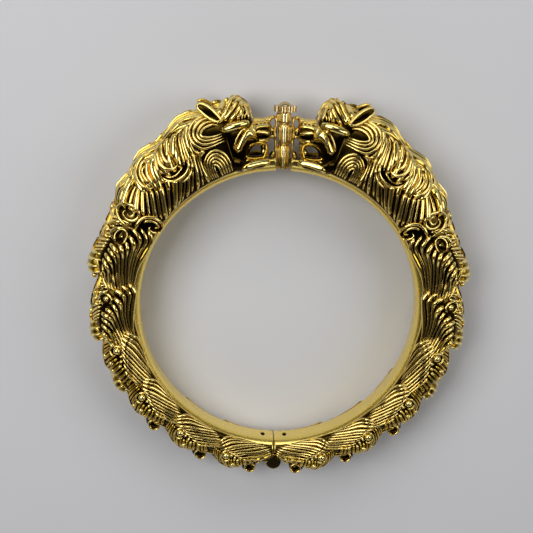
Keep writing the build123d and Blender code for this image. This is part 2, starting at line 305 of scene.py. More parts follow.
def gold(name, ridge, groove_shade, roughness, grain, grain_size, flank=None):
    """Metal whose colour runs from painted shade in the hollows to the ridge's gold with each vertex's value,
    through an optional flank colour of painted half shade, with a fine grain as bump.
    """
    material = bpy.data.materials.new(name)
    material.use_nodes = True
    nodes, links = material.node_tree.nodes, material.node_tree.links
    shader = nodes["Principled BSDF"]
    shader.inputs["Metallic"].default_value = 1.0
    relief = nodes.new("ShaderNodeAttribute")
    relief.attribute_name = "relief"
    ramp = nodes.new("ShaderNodeValToRGB")
    low, high = ramp.color_ramp.elements
    low.position, low.color = GROOVE_SHADE_ENDS, (*groove_shade, 1)
    high.position, high.color = RIDGE_STARTS, (*ridge, 1)
    if flank:
        ramp.color_ramp.elements.new(FLANK_SHADE_AT).color = (*flank, 1)
    links.new(relief.outputs["Fac"], ramp.inputs["Fac"])
    links.new(ramp.outputs["Color"], shader.inputs["Base Color"])
    where = nodes.new("ShaderNodeTexCoord")
    worn = nodes.new("ShaderNodeMapRange")
    worn.inputs["To Min"].default_value, worn.inputs["To Max"].default_value = roughness
    links.new(noise(nodes, links, where, WEAR_SIZE, 3.0), worn.inputs["Value"])
    links.new(worn.outputs["Result"], shader.inputs["Roughness"])
    bump = nodes.new("ShaderNodeBump")
    bump.inputs["Strength"].default_value = grain
    bump.inputs["Distance"].default_value = GRAIN_DEPTH * MM
    links.new(noise(nodes, links, where, grain_size, 2.0), bump.inputs["Height"])
    links.new(bump.outputs["Normal"], shader.inputs["Normal"])
    return material


# The polished gold's near-black low end and darker orange flank are painted shade; its ridge colour is the
# metal's own.
polished = gold("polished_gold", (0.97, 0.79, 0.28), (0.05, 0.03, 0.005), (0.16, 0.25), 0.02, 0.35,
                flank=(0.78, 0.50, 0.06))
# The satin's near-black low end only paints shade, in the vent's hollow.
satin = gold("satin_gold", (0.95, 0.74, 0.20), (0.01, 0.008, 0.003), (0.22, 0.32), 0.02, 0.25)
# The amber's dark brown low end paints shade on the hinge's barrel and on the beads beside the clasp's tubes.
amber = gold("amber_gold", (0.95, 0.68, 0.18), (0.20, 0.11, 0.02), (0.16, 0.26), 0.03, 0.30)
dusty = gold("dusty_gold", (0.64, 0.49, 0.25), (0.64, 0.49, 0.25), (0.22, 0.32), 0.10, 0.30)
# A whitish gold that paints the highlight along the top of the clasp's tubes.
painted_highlight = gold("painted_highlight_gold", (0.97, 0.84, 0.50), (0.97, 0.84, 0.50), (0.20, 0.30), 0.06, 0.30)
# Near black: painted shade for the hinge pin's end, recessed in its barrel.
pin_shade = gold("pin_shade_metal", (0.14, 0.10, 0.04), (0.14, 0.10, 0.04), (0.25, 0.40), 0.10, 0.30)
print("finishes:", [m.name for m in (polished, satin, amber, painted_highlight, dusty, pin_shade)])

# %% [markdown]
# A lock of hair is a ribbon that follows a path over the skin. Its section is rounded like a half circle, and
# its edges dip under the skin, so that neighbours meet in a sharp groove. A fan blends one path into another,
# for the many strands that run side by side. Hair particles would be too thin and round for a casting.

# %% Locks
AROUND_A_LOCK = 7
SINK = 0.35
CREST_SINK = 0.3
PLATEAU = 8
GROOVE_SHADE_SHARPNESS = 2.2
HUMP_AT = 0.24
HUMP_SHARE = 0.14
NARROWEST = 0.34
CREST_COVER = 1.05
LOWEST_PHI = -1.2
HIGHEST_PHI = 1.5
FLATTEST = 0.97


def dome(t, power):
    """sqrt(1 - |t|^power): a half circle at a power of 2, and a plateau with steep sides at a high one."""
    return np.sqrt(np.maximum(1 - np.abs(t) ** power, 0))


def swelling(share, root, tip, finish):
    """The share of its width that a strand has: finish at both ends, and all of it past root and tip."""
    rise = np.minimum(np.clip(share / root, 0, 1), np.clip((1 - share) / tip, 0, 1))
    return finish + (1 - finish) * np.sin(0.5 * np.pi * rise)


def lock(skin, points, width, crown=0.45, lift=0.0, root=0.15, tip=0.4, steps=30, finish=0.1, shade=1.0,
         hump=0.0):
    """A closed ribbon along a path of (angle, up) rows; width and crown are mm, or a row of mm.

    Across it, t runs from -1 to 1 and the height is lift + crown * sqrt(1 - t^2). Both edges dip under the
    skin. root and tip are the shares of its length over which it swells from, and tapers to, the finish
    share of its width. A shade below 1 keeps the whole lock darker, and a hump is a rise of that many mm
    near the root."""
    angle, up = spline(points, steps).T
    phi = skin.phi(angle, up)
    stretch = skin.stretch(angle, phi)
    reach = BORE_RADIUS + up
    forwards = np.gradient(np.radians(angle)) * reach
    upwards = np.gradient(phi) * stretch
    length = np.hypot(forwards, upwards) + 1e-9
    share = np.linspace(0, 1, steps)
    swell = swelling(share, root, tip, finish)
    t = np.linspace(-1, 1, AROUND_A_LOCK)
    spread = (width / 2 * swell)[:, None] * t
    angles = angle[:, None] + np.degrees(spread * (-upwards / length)[:, None] / reach[:, None])
    phis = np.clip(phi[:, None] + spread * (forwards / length)[:, None] / stretch[:, None],
                   LOWEST_PHI, HIGHEST_PHI)
    height = -SINK + (SINK + lift) * dome(t, PLATEAU) * swell[:, None] ** 0.5
    height = height + (crown * swell)[:, None] * dome(t, 2)
    height += hump * np.exp(-(((share - HUMP_AT) / HUMP_SHARE) ** 2))[:, None]
    # The second array paints shade: full colour along a lock's middle, falling to near black at its edges,
    # where it meets its neighbours.
    return skin.point(angles, phis, height), shade * np.ones((steps, 1)) * dome(t, 2) ** GROOVE_SHADE_SHARPNESS


def pitch(skin, paths):
    """The distance in mm of each path from its neighbours, square to its own run, at every step."""
    angle, up = paths[..., 0], paths[..., 1]
    phi = skin.phi(angle, up)
    reach, stretch = BORE_RADIUS + up, skin.stretch(angle, phi)
    run = np.stack([np.gradient(np.radians(angle), axis=1) * reach, np.gradient(phi, axis=1) * stretch], -1)
    run /= np.linalg.norm(run, axis=-1, keepdims=True) + 1e-9
    gap = np.stack([np.diff(np.radians(angle), axis=0) * reach[1:], np.diff(phi, axis=0) * stretch[1:]], -1)
    square = np.abs(gap[..., 0] * run[1:, :, 1] - gap[..., 1] * run[1:, :, 0])
    square = np.concatenate([square[:1], square, square[-1:]])
    return (square[:-1] + square[1:]) / 2


def between(guides, count, steps):
    """count rows that blend from guide to guide, and each one's path read at its steps."""
    guides = np.asarray(guides, float)
    rows = spline(guides.reshape(len(guides), -1), count).reshape(count, *guides.shape[1:])
    return rows, np.stack([spline(row, steps) for row in rows])


def fan(skin, guides, count, into, most=1.25, rounding=0.55, lifts=(0.0, 0.1), swells=(1.0,), steps=30,
        **options):
    """count strands whose paths blend from guide to guide, each as wide as its distance to the next.

    lifts and swells are gone through in turn, so that no two neighbours are quite alike."""
    rows, paths = between(guides, count, steps)
    widths = np.clip(pitch(skin, paths), NARROWEST, most)
    for n in range(count):
        width = swells[n % len(swells)] * widths[n]
        into.add_both(*lock(skin, rows[n], width, crown=rounding * width, lift=lifts[n % len(lifts)],
                            steps=steps, **options))


def crest_fan(skin, guides, count, into, crown=0.5, lifts=(0.1, 0.25), steps=26):
    """count closed ribbons on each side of the crest; a guide's rows are an angle and mm across the ring.

    There the skin is nearly flat, so that a strand's width can be laid off across it directly."""
    _, paths = between(guides, count, steps)
    widths = CREST_COVER * np.abs(np.gradient(paths[..., 1], axis=0))
    swell = swelling(np.linspace(0, 1, steps), 0.12, 0.3, 0.3)[:, None]
    t = np.linspace(-1, 1, AROUND_A_LOCK)
    for n, path in enumerate(paths):
        angle, across = path.T
        middle, half, size = skin.sizes(angle)
        reach = BORE_RADIUS + middle + half
        forwards, sideways = np.gradient(np.radians(angle)) * reach, np.gradient(across)
        length = np.hypot(forwards, sideways)
        spread = widths[n][:, None] / 2 * swell * t
        angles = angle[:, None] - np.degrees(spread * (sideways / length / reach)[:, None])
        places = across[:, None] + spread * (forwards / length)[:, None]
        cosine = np.sign(places) * np.abs(places / size[:, None]) ** (1 / FULLNESS)
        phis = np.arccos(np.clip(cosine, -FLATTEST, FLATTEST))
        height = (CREST_SINK + lifts[n % len(lifts)]) * dome(t, PLATEAU) * np.sqrt(swell) - CREST_SINK
        height = height + crown * swell * dome(t, 2)
        # As on a lock, the colour is painted shade that falls to near black at each ribbon's edges.
        into.add_both(skin.point(angles, phis, height), np.ones((steps, 1)) * dome(t, 2) ** GROOVE_SHADE_SHARPNESS)


print("heights across a lock:", dome(np.linspace(-1, 1, AROUND_A_LOCK), 2).round(2))

# %% [markdown]
# The core of one half runs from behind the big head's cheek to the hinge. Its crest follows the outline
# that the photograph shows, about half a millimetre lower, to leave room for the hair. It rises at each small
# head's eye and falls between two heads.

# %% Coat
coat = Skin([
    (18.0, 1.2, 13.6, 5.6), (20.0, 1.1, 14.8, 5.8), (23.0, 1.1, 15.2, 6.2), (26.0, 1.0, 15.9, 6.4),
    (29.5, 1.0, 15.9, 6.4), (33.0, 1.0, 14.8, 6.4), (37.0, 0.9, 13.8, 6.4), (42.5, 0.9, 14.5, 6.4),
    (46.0, 0.9, 13.8, 6.4), (49.0, 0.9, 12.9, 6.3), (53.5, 0.9, 13.1, 6.3), (57.5, 0.8, 11.8, 6.2),
    (61.0, 0.8, 11.0, 6.2), (66.0, 0.8, 10.8, 6.3), (71.0, 1.0, 11.0, 6.2), (74.0, 1.2, 11.4, 6.1),
    (77.0, 1.3, 10.8, 5.9), (80.5, 1.2, 8.8, 5.8), (82.0, 1.0, 8.6, 5.8), (86.6, 0.8, 9.5, 6.2),
    (92.0, 0.9, 10.1, 6.1), (95.5, 0.9, 10.3, 5.9), (98.5, 0.8, 9.8, 5.7), (101.0, 0.7, 8.4, 5.6),
    (103.0, 0.6, 8.5, 5.7), (106.0, 0.6, 9.2, 5.9), (110.5, 0.7, 9.7, 5.9), (115.0, 0.7, 9.0, 5.6),
    (119.5, 0.6, 7.8, 5.4), (121.5, 0.5, 7.8, 5.5), (125.0, 0.5, 8.7, 5.7), (129.5, 0.5, 9.0, 5.7),
    (133.5, 0.7, 8.2, 5.4), (138.0, 0.6, 6.8, 5.2), (140.0, 0.5, 6.8, 5.3), (144.0, 0.5, 8.1, 5.5),
    (148.0, 0.5, 8.5, 5.5), (152.5, 0.7, 7.4, 5.2), (156.0, 0.6, 6.4, 5.0), (158.0, 0.5, 6.3, 5.0),
    (162.0, 0.5, 7.8, 5.2), (166.0, 0.5, 8.3, 5.2), (170.0, 0.6, 7.0, 5.0), (174.0, 0.8, 5.2, 4.7),
    (177.0, 0.8, 4.7, 4.6), (179.4, 0.8, 4.6, 4.5),
])
CORE_UNDERSIDE = -0.93
CORE_TOP = 0.5


def core(skin, steps, around, raised=None):
    """The skin itself as a closed tube, and the sine of phi at its points; raised gives a height in mm."""
    angle = np.linspace(skin.first, skin.last, steps)
    phi = np.linspace(0, 2 * np.pi, around, endpoint=False)
    angles, phis = np.meshgrid(angle, phi, indexing="ij")
    middle, half, _ = skin.sizes(angles)
    height = raised(angles, middle + half * np.sin(phis)) if raised else np.zeros_like(angles)
    return skin.point(angles, phis, height), np.sin(phis)


coat_piece = Casting()
rings, sine = core(coat, steps=480, around=48)
# The bare core shows only in the crevices between locks and is painted near black there as shade, a little
# lighter on its crest and gold on its underside by the band.
crest_shade = 0.4 * np.clip((sine - CORE_TOP) / 0.4, 0, 1)
coat_piece.add(rings, np.where(sine < CORE_UNDERSIDE, 0.8, crest_shade))
print("core:", coat_piece.count, "points")

# %% [markdown]
# The mane of the big head: locks that hook over one another, long straight strands under them, two
# ruffs of nested strands behind the cheek and two scrolls where the mane ends. The strands set one by one
# are rows of a path, (angle, up) by (angle, up), and then the width, crown and lift in mm. Even fans alone
# would look combed, and the cast mane is not.

# %% Mane
MANE = [
    ([(23.6, 15.8), (26.4, 16.9), (28.8, 17.2), (31.2, 16.8), (33.6, 15.9), (35.8, 15.2)], 1.4, 0.6, 0.25),
    ([(23.6, 15.2), (26.4, 15.9), (29.0, 16.1), (31.9, 15.4), (35.1, 14.8)], 1.1, 0.55, 0.15),
    ([(24.4, 14.7), (27.2, 15.2), (29.8, 14.9), (32.8, 14.2), (35.6, 13.9)], 1.1, 0.6, 0.25),
    ([(25.2, 14.1), (27.6, 14.3), (30.2, 13.9), (33.0, 13.4)], 0.9, 0.45, 0.05),
    ([(34.4, 14.2), (36.2, 14.8), (37.4, 15.5), (38.2, 16.4)], 1.3, 0.6, 0.4),
    ([(37.6, 14.6), (41.0, 15.3), (43.4, 15.4), (45.6, 14.8), (47.9, 13.8)], 1.4, 0.6, 0.25),
    ([(36.4, 14.0), (39.9, 14.5), (42.8, 14.4), (45.3, 13.9), (47.6, 13.1)], 1.2, 0.6, 0.15),
    ([(35.6, 13.2), (39.2, 13.6), (42.8, 13.6), (45.9, 13.1), (48.0, 12.2)], 0.9, 0.5, 0.3),
    ([(48.4, 13.2), (51.5, 13.9), (54.7, 13.6), (57.6, 12.0)], 1.4, 0.6, 0.25),
    ([(46.8, 12.8), (50.5, 12.9), (54.3, 12.6), (57.4, 11.2)], 1.2, 0.6, 0.15),
    ([(26.6, 14.6), (28.3, 13.2), (29.2, 11.4), (29.6, 9.6), (29.5, 8.0)], 1.2, 0.7, 0.2),
    ([(31.2, 13.9), (33.0, 12.4), (34.3, 10.8), (35.0, 9.2)], 1.9, 0.75, 0.3),
    ([(33.6, 13.8), (35.2, 12.5), (36.1, 11.2), (36.2, 10.1)], 1.2, 0.6, 0.35),
    ([(35.0, 13.8), (36.9, 12.4), (37.6, 10.9), (37.1, 9.6), (35.7, 8.9)], 1.0, 0.6, 0.5),
    ([(36.4, 13.6), (38.4, 12.2), (39.3, 10.6), (38.8, 9.1), (37.2, 8.3), (35.3, 8.4)], 1.1, 0.7, 0.6),
    ([(38.0, 13.2), (39.9, 11.6), (40.8, 9.9), (40.3, 8.4)], 0.9, 0.6, 0.35),
    ([(31.4, 8.6), (32.6, 6.9), (35.1, 6.0), (38.3, 6.0), (40.6, 6.9), (41.6, 8.4)], 0.9, 0.6, 0.35),
    ([(30.8, 7.4), (32.4, 5.8), (35.1, 5.0), (38.4, 4.9)], 0.8, 0.5, 0.2),
    ([(34.2, 7.6), (37.0, 6.9), (39.4, 7.2), (40.8, 8.2)], 0.5, 0.35, 0.2),
    ([(40.9, 7.4), (41.7, 6.3), (43.1, 4.9)], 1.4, 0.6, 0.2),
    ([(38.6, 12.6), (41.3, 11.5), (42.8, 9.8), (43.4, 8.0), (44.8, 6.2), (47.0, 4.3)], 1.5, 0.75, 0.3),
    ([(40.2, 12.8), (42.7, 11.9), (44.3, 10.4), (44.7, 8.8), (45.4, 7.4), (47.4, 5.8)], 1.3, 0.7, 0.3),
    ([(37.0, 12.0), (39.8, 11.0), (41.4, 9.6), (42.0, 8.0)], 1.0, 0.5, 0.15),
    ([(38.9, 13.3), (42.8, 13.3), (45.7, 12.5), (47.4, 11.2), (47.7, 9.7), (47.0, 8.4), (45.6, 7.9)],
     0.95, 0.7, 0.45),
    ([(41.5, 12.8), (44.1, 12.4), (46.0, 11.2), (46.5, 9.7), (46.0, 8.3)], 0.95, 0.65, 0.55),
    ([(42.8, 12.2), (44.8, 11.6), (45.5, 10.4), (45.6, 9.2), (45.3, 8.2)], 0.7, 0.5, 0.45),
    ([(61.2, 6.0), (60.6, 8.8), (58.8, 10.3), (56.9, 10.4), (55.2, 9.6), (54.3, 8.2), (54.8, 6.9),
     (56.6, 6.3), (58.4, 6.8), (59.1, 8.0), (58.5, 9.2), (57.2, 9.3)], 0.9, 0.6, 0.35),
    ([(56.0, 9.0), (55.5, 8.2), (56.0, 7.5), (57.2, 7.4), (57.9, 8.0), (57.5, 8.6)], 0.7, 0.5, 0.3),
    ([(61.5, 5.0), (59.6, 5.6), (57.4, 5.7), (55.3, 5.3), (53.8, 4.2), (53.2, 2.8), (53.9, 1.5),
     (55.6, 0.9), (57.4, 1.1), (58.4, 2.2), (57.9, 3.1), (56.9, 3.0)], 0.9, 0.6, 0.35),
    ([(57.4, 4.8), (55.8, 4.4), (54.8, 3.4), (54.8, 2.3), (55.8, 1.8), (56.8, 2.1)], 0.7, 0.5, 0.25),
]
mane = Casting()
fan(coat, [
    [(25.8, 8.6), (28.1, 7.3), (28.9, 5.2), (29.1, 3.4), (29.4, 1.7)],
    [(28.9, 9.2), (29.8, 7.2), (30.6, 5.2), (31.8, 3.6), (33.9, 1.5)],
    [(31.0, 8.0), (32.4, 6.2), (34.4, 4.2), (36.4, 2.8), (37.9, 1.9)],
    [(34.4, 6.4), (36.2, 4.9), (38.6, 3.3), (40.8, 2.2), (43.2, 1.2)],
    [(38.0, 6.4), (40.2, 4.7), (42.6, 3.1), (44.5, 2.2), (46.0, 1.6)],
    [(42.6, 7.0), (44.4, 5.2), (46.6, 3.6), (48.8, 2.3), (50.8, 1.2)],
    [(45.6, 7.4), (47.6, 5.7), (49.8, 4.2), (51.6, 3.0), (53.0, 2.0)],
    [(47.8, 8.4), (49.8, 7.0), (51.8, 5.7), (53.4, 4.7), (54.6, 3.8)],
    [(48.8, 9.6), (51.0, 8.6), (53.2, 7.6), (54.6, 6.9), (55.6, 6.2)],
    [(48.8, 10.9), (51.4, 10.5), (53.8, 9.9), (55.6, 9.2), (56.8, 8.6)],
    [(47.2, 12.2), (50.4, 12.2), (53.4, 11.7), (55.8, 11.0), (57.4, 10.2)],
], 18, mane, lifts=(0.15, -0.1, 0.25, 0.0, 0.2, -0.15, 0.05), swells=(1.15, 0.75, 1.2, 0.85, 1.05, 0.7, 0.95),
    steps=36, root=0.05, tip=0.3, finish=0.15, rounding=0.7, most=1.5)
fan(coat, [
    [(24.4, 14.2), (27.6, 13.2), (28.6, 11.0), (28.4, 9.0), (27.2, 7.8)],
    [(26.6, 14.6), (29.6, 13.2), (30.6, 11.0), (31.0, 9.2), (31.4, 7.6)],
    [(29.0, 14.6), (31.4, 12.8), (32.4, 10.8), (33.2, 9.2), (34.2, 7.4)],
    [(33.0, 13.8), (36.0, 12.6), (37.6, 10.8), (38.2, 9.2), (38.4, 7.2)],
    [(38.0, 13.4), (41.6, 12.4), (43.6, 10.4), (44.2, 8.6), (44.8, 7.0)],
    [(43.4, 13.4), (46.6, 12.4), (48.4, 10.8), (48.8, 9.4), (48.8, 8.2)],
], 12, mane, lifts=(-0.2, 0.05, -0.1), swells=(1.1, 0.8, 1.15), root=0.05, tip=0.12, finish=0.3, most=1.5)
fan(coat, [
    [(19.3, 13.4), (22.2, 14.2), (25.0, 14.3), (27.2, 13.3), (28.0, 11.5), (27.2, 9.7), (24.8, 8.6),
     (18.4, 8.7)],
    [(18.8, 12.5), (21.6, 13.3), (23.8, 13.4), (25.6, 12.7), (26.3, 11.4), (25.3, 10.1), (22.9, 9.5),
     (18.6, 9.5)],
    [(18.8, 11.9), (20.9, 12.4), (22.9, 12.4), (24.5, 12.0), (24.9, 11.4), (24.2, 10.8), (22.2, 10.3),
     (19.0, 10.2)],
], 4, mane, rounding=0.65, lifts=(0.25, 0.45, 0.3), tip=0.12, root=0.1, steps=44)
fan(coat, [
    [(19.7, 1.7), (19.4, 3.8), (20.1, 6.0), (21.9, 7.3), (23.9, 7.6), (26.0, 7.0), (27.7, 5.7), (28.3, 3.8),
     (28.4, 1.7)],
    [(23.6, 1.7), (23.5, 2.9), (23.6, 3.9), (24.0, 4.6), (24.5, 4.8), (25.0, 4.6), (25.2, 3.9), (25.3, 2.9),
     (25.4, 1.7)],
], 5, mane, rounding=0.65, lifts=(0.15, 0.3, 0.2), tip=0.12, root=0.1, steps=44)
CREST_TUFTS = [
    [[(19.5, 0.4), (24.0, 0.5), (29.0, 0.5), (34.0, 0.5), (37.5, 0.3)],
     [(19.5, 2.0), (24.0, 2.4), (29.0, 2.3), (33.5, 1.9), (36.5, 1.2)],
     [(20.0, 3.6), (24.0, 4.3), (28.5, 4.2), (33.0, 3.4), (36.0, 2.2)]],
    [[(35.5, 0.4), (40.0, 0.5), (44.0, 0.5), (48.5, 0.3)],
     [(35.0, 2.2), (39.5, 2.5), (44.0, 2.3), (48.0, 1.3)],
     [(34.5, 3.9), (39.0, 4.3), (43.5, 3.9), (47.5, 2.5)]],
    [[(46.5, 0.4), (50.5, 0.5), (54.0, 0.5), (59.5, 0.4)],
     [(46.0, 2.2), (50.0, 2.5), (54.0, 2.3), (59.0, 1.8)],
     [(46.0, 3.8), (50.0, 4.2), (54.0, 3.8), (58.5, 3.0)]],
]
for tuft in CREST_TUFTS:
    crest_fan(coat, tuft, 5, mane)
for strand in MANE:
    mane.add_both(*lock(coat, *strand, finish=0.25))
print("mane strands:", len(MANE))

# %% [markdown]
# Round forms such as eyes, knobs and cheekbones are spheres pulled to an ellipsoid, set on the ring at an
# angle, a height and a distance across. Blender's own sphere would have to be scaled and turned each time;
# the formula puts its points straight in place.

# %% Round forms
POLE = 0.02


def lump(angle, up, across, sizes, lean=0.0, steps=24, around=32, relief=0.9, fullness=1.0):
    """An ellipsoid whose sizes are (along, up, across) half lengths, tipped outwards by its lean.

    A fullness below 1 raises each direction's own parts to that power, which squares the form off."""
    polar = np.linspace(POLE, np.pi - POLE, steps)
    turn = np.linspace(0, 2 * np.pi, around, endpoint=False)
    p, t = np.meshgrid(polar, turn, indexing="ij")
    unit = np.stack([np.sin(p) * np.cos(t), np.sin(p) * np.sin(t), np.cos(p)], -1)
    body = np.sign(unit) * np.abs(unit) ** fullness * np.asarray(sizes, float)
    lean = np.radians(lean)
    along = body[..., 0] * np.cos(lean) - body[..., 1] * np.sin(lean)
    over = body[..., 0] * np.sin(lean) + body[..., 1] * np.cos(lean)
    angles = angle + np.degrees(along / (BORE_RADIUS + up))
    return ring(angles, up + over, across + body[..., 2]), np.full(p.shape, relief)


print("a ball's points:", lump(90.0, 5.0, 0.0, (1, 1, 1))[0].shape[:2])

# %% [markdown]
# The face of the big head. The upper jaw is a skin that ends at the nose, the lower jaw another, and the
# open mouth between them goes right through. Lips, folds and teeth are locks. Three soft spots sink the
# cheek, the side of the nose and the eye, which is simpler than cutting them with booleans.

# %% Face
FACE_SMOOTHING = 0.6
muzzle_skin = Skin([
    (4.2, 7.4, 10.0, 2.0), (5.0, 6.6, 10.7, 3.6), (7.0, 6.2, 10.9, 4.3), (9.3, 6.0, 11.1, 4.9),
    (9.7, 5.9, 12.6, 5.0), (10.1, 5.8, 14.2, 5.1), (11.0, 5.5, 15.1, 5.3), (12.4, 4.5, 16.0, 5.6),
    (14.0, 2.2, 16.1, 5.7), (15.4, 1.3, 15.7, 5.6), (16.5, 1.2, 15.2, 5.5), (17.8, 1.2, 15.9, 5.5),
    (19.2, 1.2, 15.9, 5.5), (20.8, 1.2, 15.4, 5.6), (22.0, 1.2, 15.0, 5.6), (24.0, 1.2, 15.0, 5.6),
], FACE_SMOOTHING)
jaw_skin = Skin([
    (2.6, 1.3, 2.4, 1.6), (4.0, 1.0, 3.0, 3.0), (6.0, 1.0, 3.1, 4.0), (9.0, 1.0, 3.2, 4.7),
    (12.0, 1.0, 3.3, 5.4), (14.0, 1.0, 4.2, 5.8), (16.0, 1.0, 5.5, 6.0), (18.0, 1.2, 6.0, 5.6),
], FACE_SMOOTHING)
Spot = namedtuple("Spot", "angle up long wide tall lean")
FACE_SPOTS = [
    Spot(17.0, 5.5, 1.6, 3.6, -0.5, 0),
    Spot(6.8, 7.9, 2.2, 0.5, -0.9, 4),
    Spot(12.0, 12.8, 1.1, 0.8, -0.8, 0),
]


def face_height(angles, up):
    """Soft hills tall * exp(-(along / long)^2 - (over / wide)^2) in mm, turned by their leans and summed."""
    height = np.zeros_like(angles)
    for spot in FACE_SPOTS:
        along = np.radians(angles - spot.angle) * (BORE_RADIUS + spot.up)
        over = up - spot.up
        turn = np.radians(spot.lean)
        along, over = along * np.cos(turn) + over * np.sin(turn), over * np.cos(turn) - along * np.sin(turn)
        height += spot.tall * np.exp(-((along / spot.long) ** 2) - (over / spot.wide) ** 2)
    return height


face = Casting()
rings, sine = core(muzzle_skin, steps=140, around=96, raised=face_height)
# The face's skin is painted near black, as painted shade and dark reflection, lighter towards its crest.
face.add(rings, 0.12 + 0.5 * np.clip((sine - 0.6) / 0.3, 0, 1))
rings, sine = core(jaw_skin, steps=60, around=60)
# The lower jaw's skin is painted near black as shade too.
face.add(rings, np.full(sine.shape, 0.15))
print("face:", face.count, "points")

# %% [markdown]
# Over the face lie its folds: the wide lip and the line above it, gums, whiskers, the rim of the nose, brows
# and the forelocks. They are locks like the mane's, so that skin and hair meet in the same sharp grooves.
# The cheekbone and the fang are round forms.

# %% Folds
FOLDS = [
    ([(9.2, 9.1), (11.2, 9.1), (13.0, 8.2), (14.4, 7.1), (15.3, 6.3), (16.2, 5.5)], 2.7, 1.1, 0.2),
    ([(11.4, 10.2), (13.2, 9.8), (14.8, 8.8), (16.0, 7.6), (16.9, 6.2)], 0.8, 0.5, 0.2),
    ([(4.4, 9.6), (6.6, 9.8), (8.7, 9.7), (10.2, 9.2)], 0.95, 0.5, 0.1),
    ([(4.6, 10.4), (7.0, 10.5), (9.0, 10.4), (10.8, 9.9)], 0.45, 0.3, 0.05),
    ([(4.8, 8.2), (6.6, 8.7), (8.9, 9.0)], 0.85, 0.45, 0.1),
    ([(4.9, 6.9), (7.0, 7.1), (8.6, 7.1)], 0.95, 0.5, 0.1),
    ([(9.6, 11.9), (9.9, 13.6), (10.6, 14.8), (12.2, 15.9), (13.8, 16.4)], 1.0, 0.45, 0.1),
    ([(10.5, 12.0), (10.8, 13.6), (11.6, 14.8), (12.8, 15.4)], 0.8, 0.4, 0.15),
    ([(11.6, 14.2), (12.5, 13.2), (14.0, 12.3)], 1.1, 0.5, 0.2),
    ([(11.4, 15.2), (12.8, 14.1), (14.4, 13.0), (16.4, 12.0)], 1.15, 0.6, 0.3),
    ([(11.8, 15.8), (13.6, 14.8), (15.4, 13.6), (17.4, 12.5)], 1.2, 0.7, 0.35),
    ([(13.2, 16.2), (14.9, 15.1), (16.4, 13.9), (18.0, 12.8)], 1.2, 0.7, 0.35),
    ([(14.8, 16.4), (16.4, 15.3), (17.8, 14.5), (18.7, 13.7)], 1.45, 0.7, 0.25),
    ([(16.4, 15.6), (17.8, 15.9), (19.6, 16.0)], 1.3, 0.6, 0.2),
]
crest_fan(muzzle_skin, [
    [(9.9, 0.4), (12.0, 0.5), (15.0, 0.5), (20.5, 0.4)], [(9.9, 1.8), (12.2, 2.1), (15.0, 2.2),
     (20.5, 1.8)],
    [(10.2, 3.2), (12.6, 3.6), (15.4, 3.7), (20.5, 3.0)],
], 5, face, crown=0.4, lifts=(0.0, 0.1))
crest_fan(muzzle_skin, [
    [(4.6, 0.3), (6.0, 0.5), (8.0, 0.5), (9.8, 0.4)], [(4.6, 0.9), (6.0, 1.8), (8.0, 2.2), (9.8, 2.2)],
], 3, face, crown=0.25, lifts=(0.0,))
for strand in FOLDS:
    face.add_both(*lock(muzzle_skin, *strand, finish=0.35, tip=0.2))
for angle in (4.6, 5.8, 7.0, 8.2):
    whisker = [(angle, 10.6), (angle + 0.6, 10.4), (angle + 1.1, 10.1)]
    face.add_both(*lock(muzzle_skin, whisker, 0.5, 0.3, 0.0))
for angle in (10.9, 11.7, 12.5):
    lash = [(angle, 13.1), (angle + 0.5, 12.6), (angle + 0.8, 12.2)]
    face.add_both(*lock(muzzle_skin, lash, 0.45, 0.35, 0.1))
LOWER_LIP = [(4.4, 2.1), (8.0, 2.3), (12.0, 2.3), (14.2, 2.3), (15.9, 1.8)]
LOWER_GUM = [(6.4, 3.0), (9.0, 3.0), (11.6, 3.0), (13.6, 3.3)]
face.add_both(*lock(jaw_skin, LOWER_LIP, 1.1, 0.6, 0.3, finish=0.5, tip=0.2))
face.add_both(*lock(jaw_skin, LOWER_GUM, 0.7, 0.4, 0.1, finish=0.5, tip=0.2))
cheekbone = lump(15.0, 11.0, 4.5, (3.4, 1.25, 1.9), lean=-4, steps=40, around=40)
face.add_both(*cheekbone)
fang = lump(6.9, 4.5, 3.3, (0.8, 0.8, 0.8), relief=1.0)
face.add_both(*fang)
print("face folds:", len(FOLDS))

# %% [markdown]
# Some parts of the cast face are bars and not ribbons: the edge of the open mouth, the ears and, later, the
# webs of the clasp. A bar could be a curve with a round bevel, but a tube of rings needs no conversion and
# can have one thickness in the ring's plane and another across it.

# %% Bent rods
ROD_RELIEF = 0.8


def rod(path, wide, deep, around=14, steps=40, closed=False):
    """A tube along a path of X, Y, Z rows in mm: wide is its half width in the ring's plane, deep across.

    wide may have one value for each row. An open rod narrows at its ends by sqrt(1 - |share|^10)."""
    path = np.asarray(path, float)
    if np.ndim(wide):
        wide = spline(np.asarray(wide)[:, None], steps)
    if closed:
        path = spline(np.concatenate([path, path[:1]]), steps + 1)[:-1]
        run = (np.roll(path, -1, 0) - np.roll(path, 1, 0))[:, :2]
        ends = np.ones(steps)
    else:
        path = spline(path, steps)
        run = np.gradient(path[:, :2], axis=0)
        ends = np.sqrt(np.maximum(1 - np.abs(np.linspace(-1, 1, steps)) ** 10, 0.02))
    run /= np.linalg.norm(run, axis=1, keepdims=True)
    turn = np.linspace(0, 2 * np.pi, around, endpoint=False)
    side = wide * ends[:, None] * np.cos(turn)
    over = deep * ends[:, None] * np.sin(turn)
    x = path[:, :1] - run[:, 1:] * side
    y = path[:, 1:2] + run[:, :1] * side
    return np.stack([x, y, path[:, 2:] + over], -1) * MM, np.full(side.shape, ROD_RELIEF)


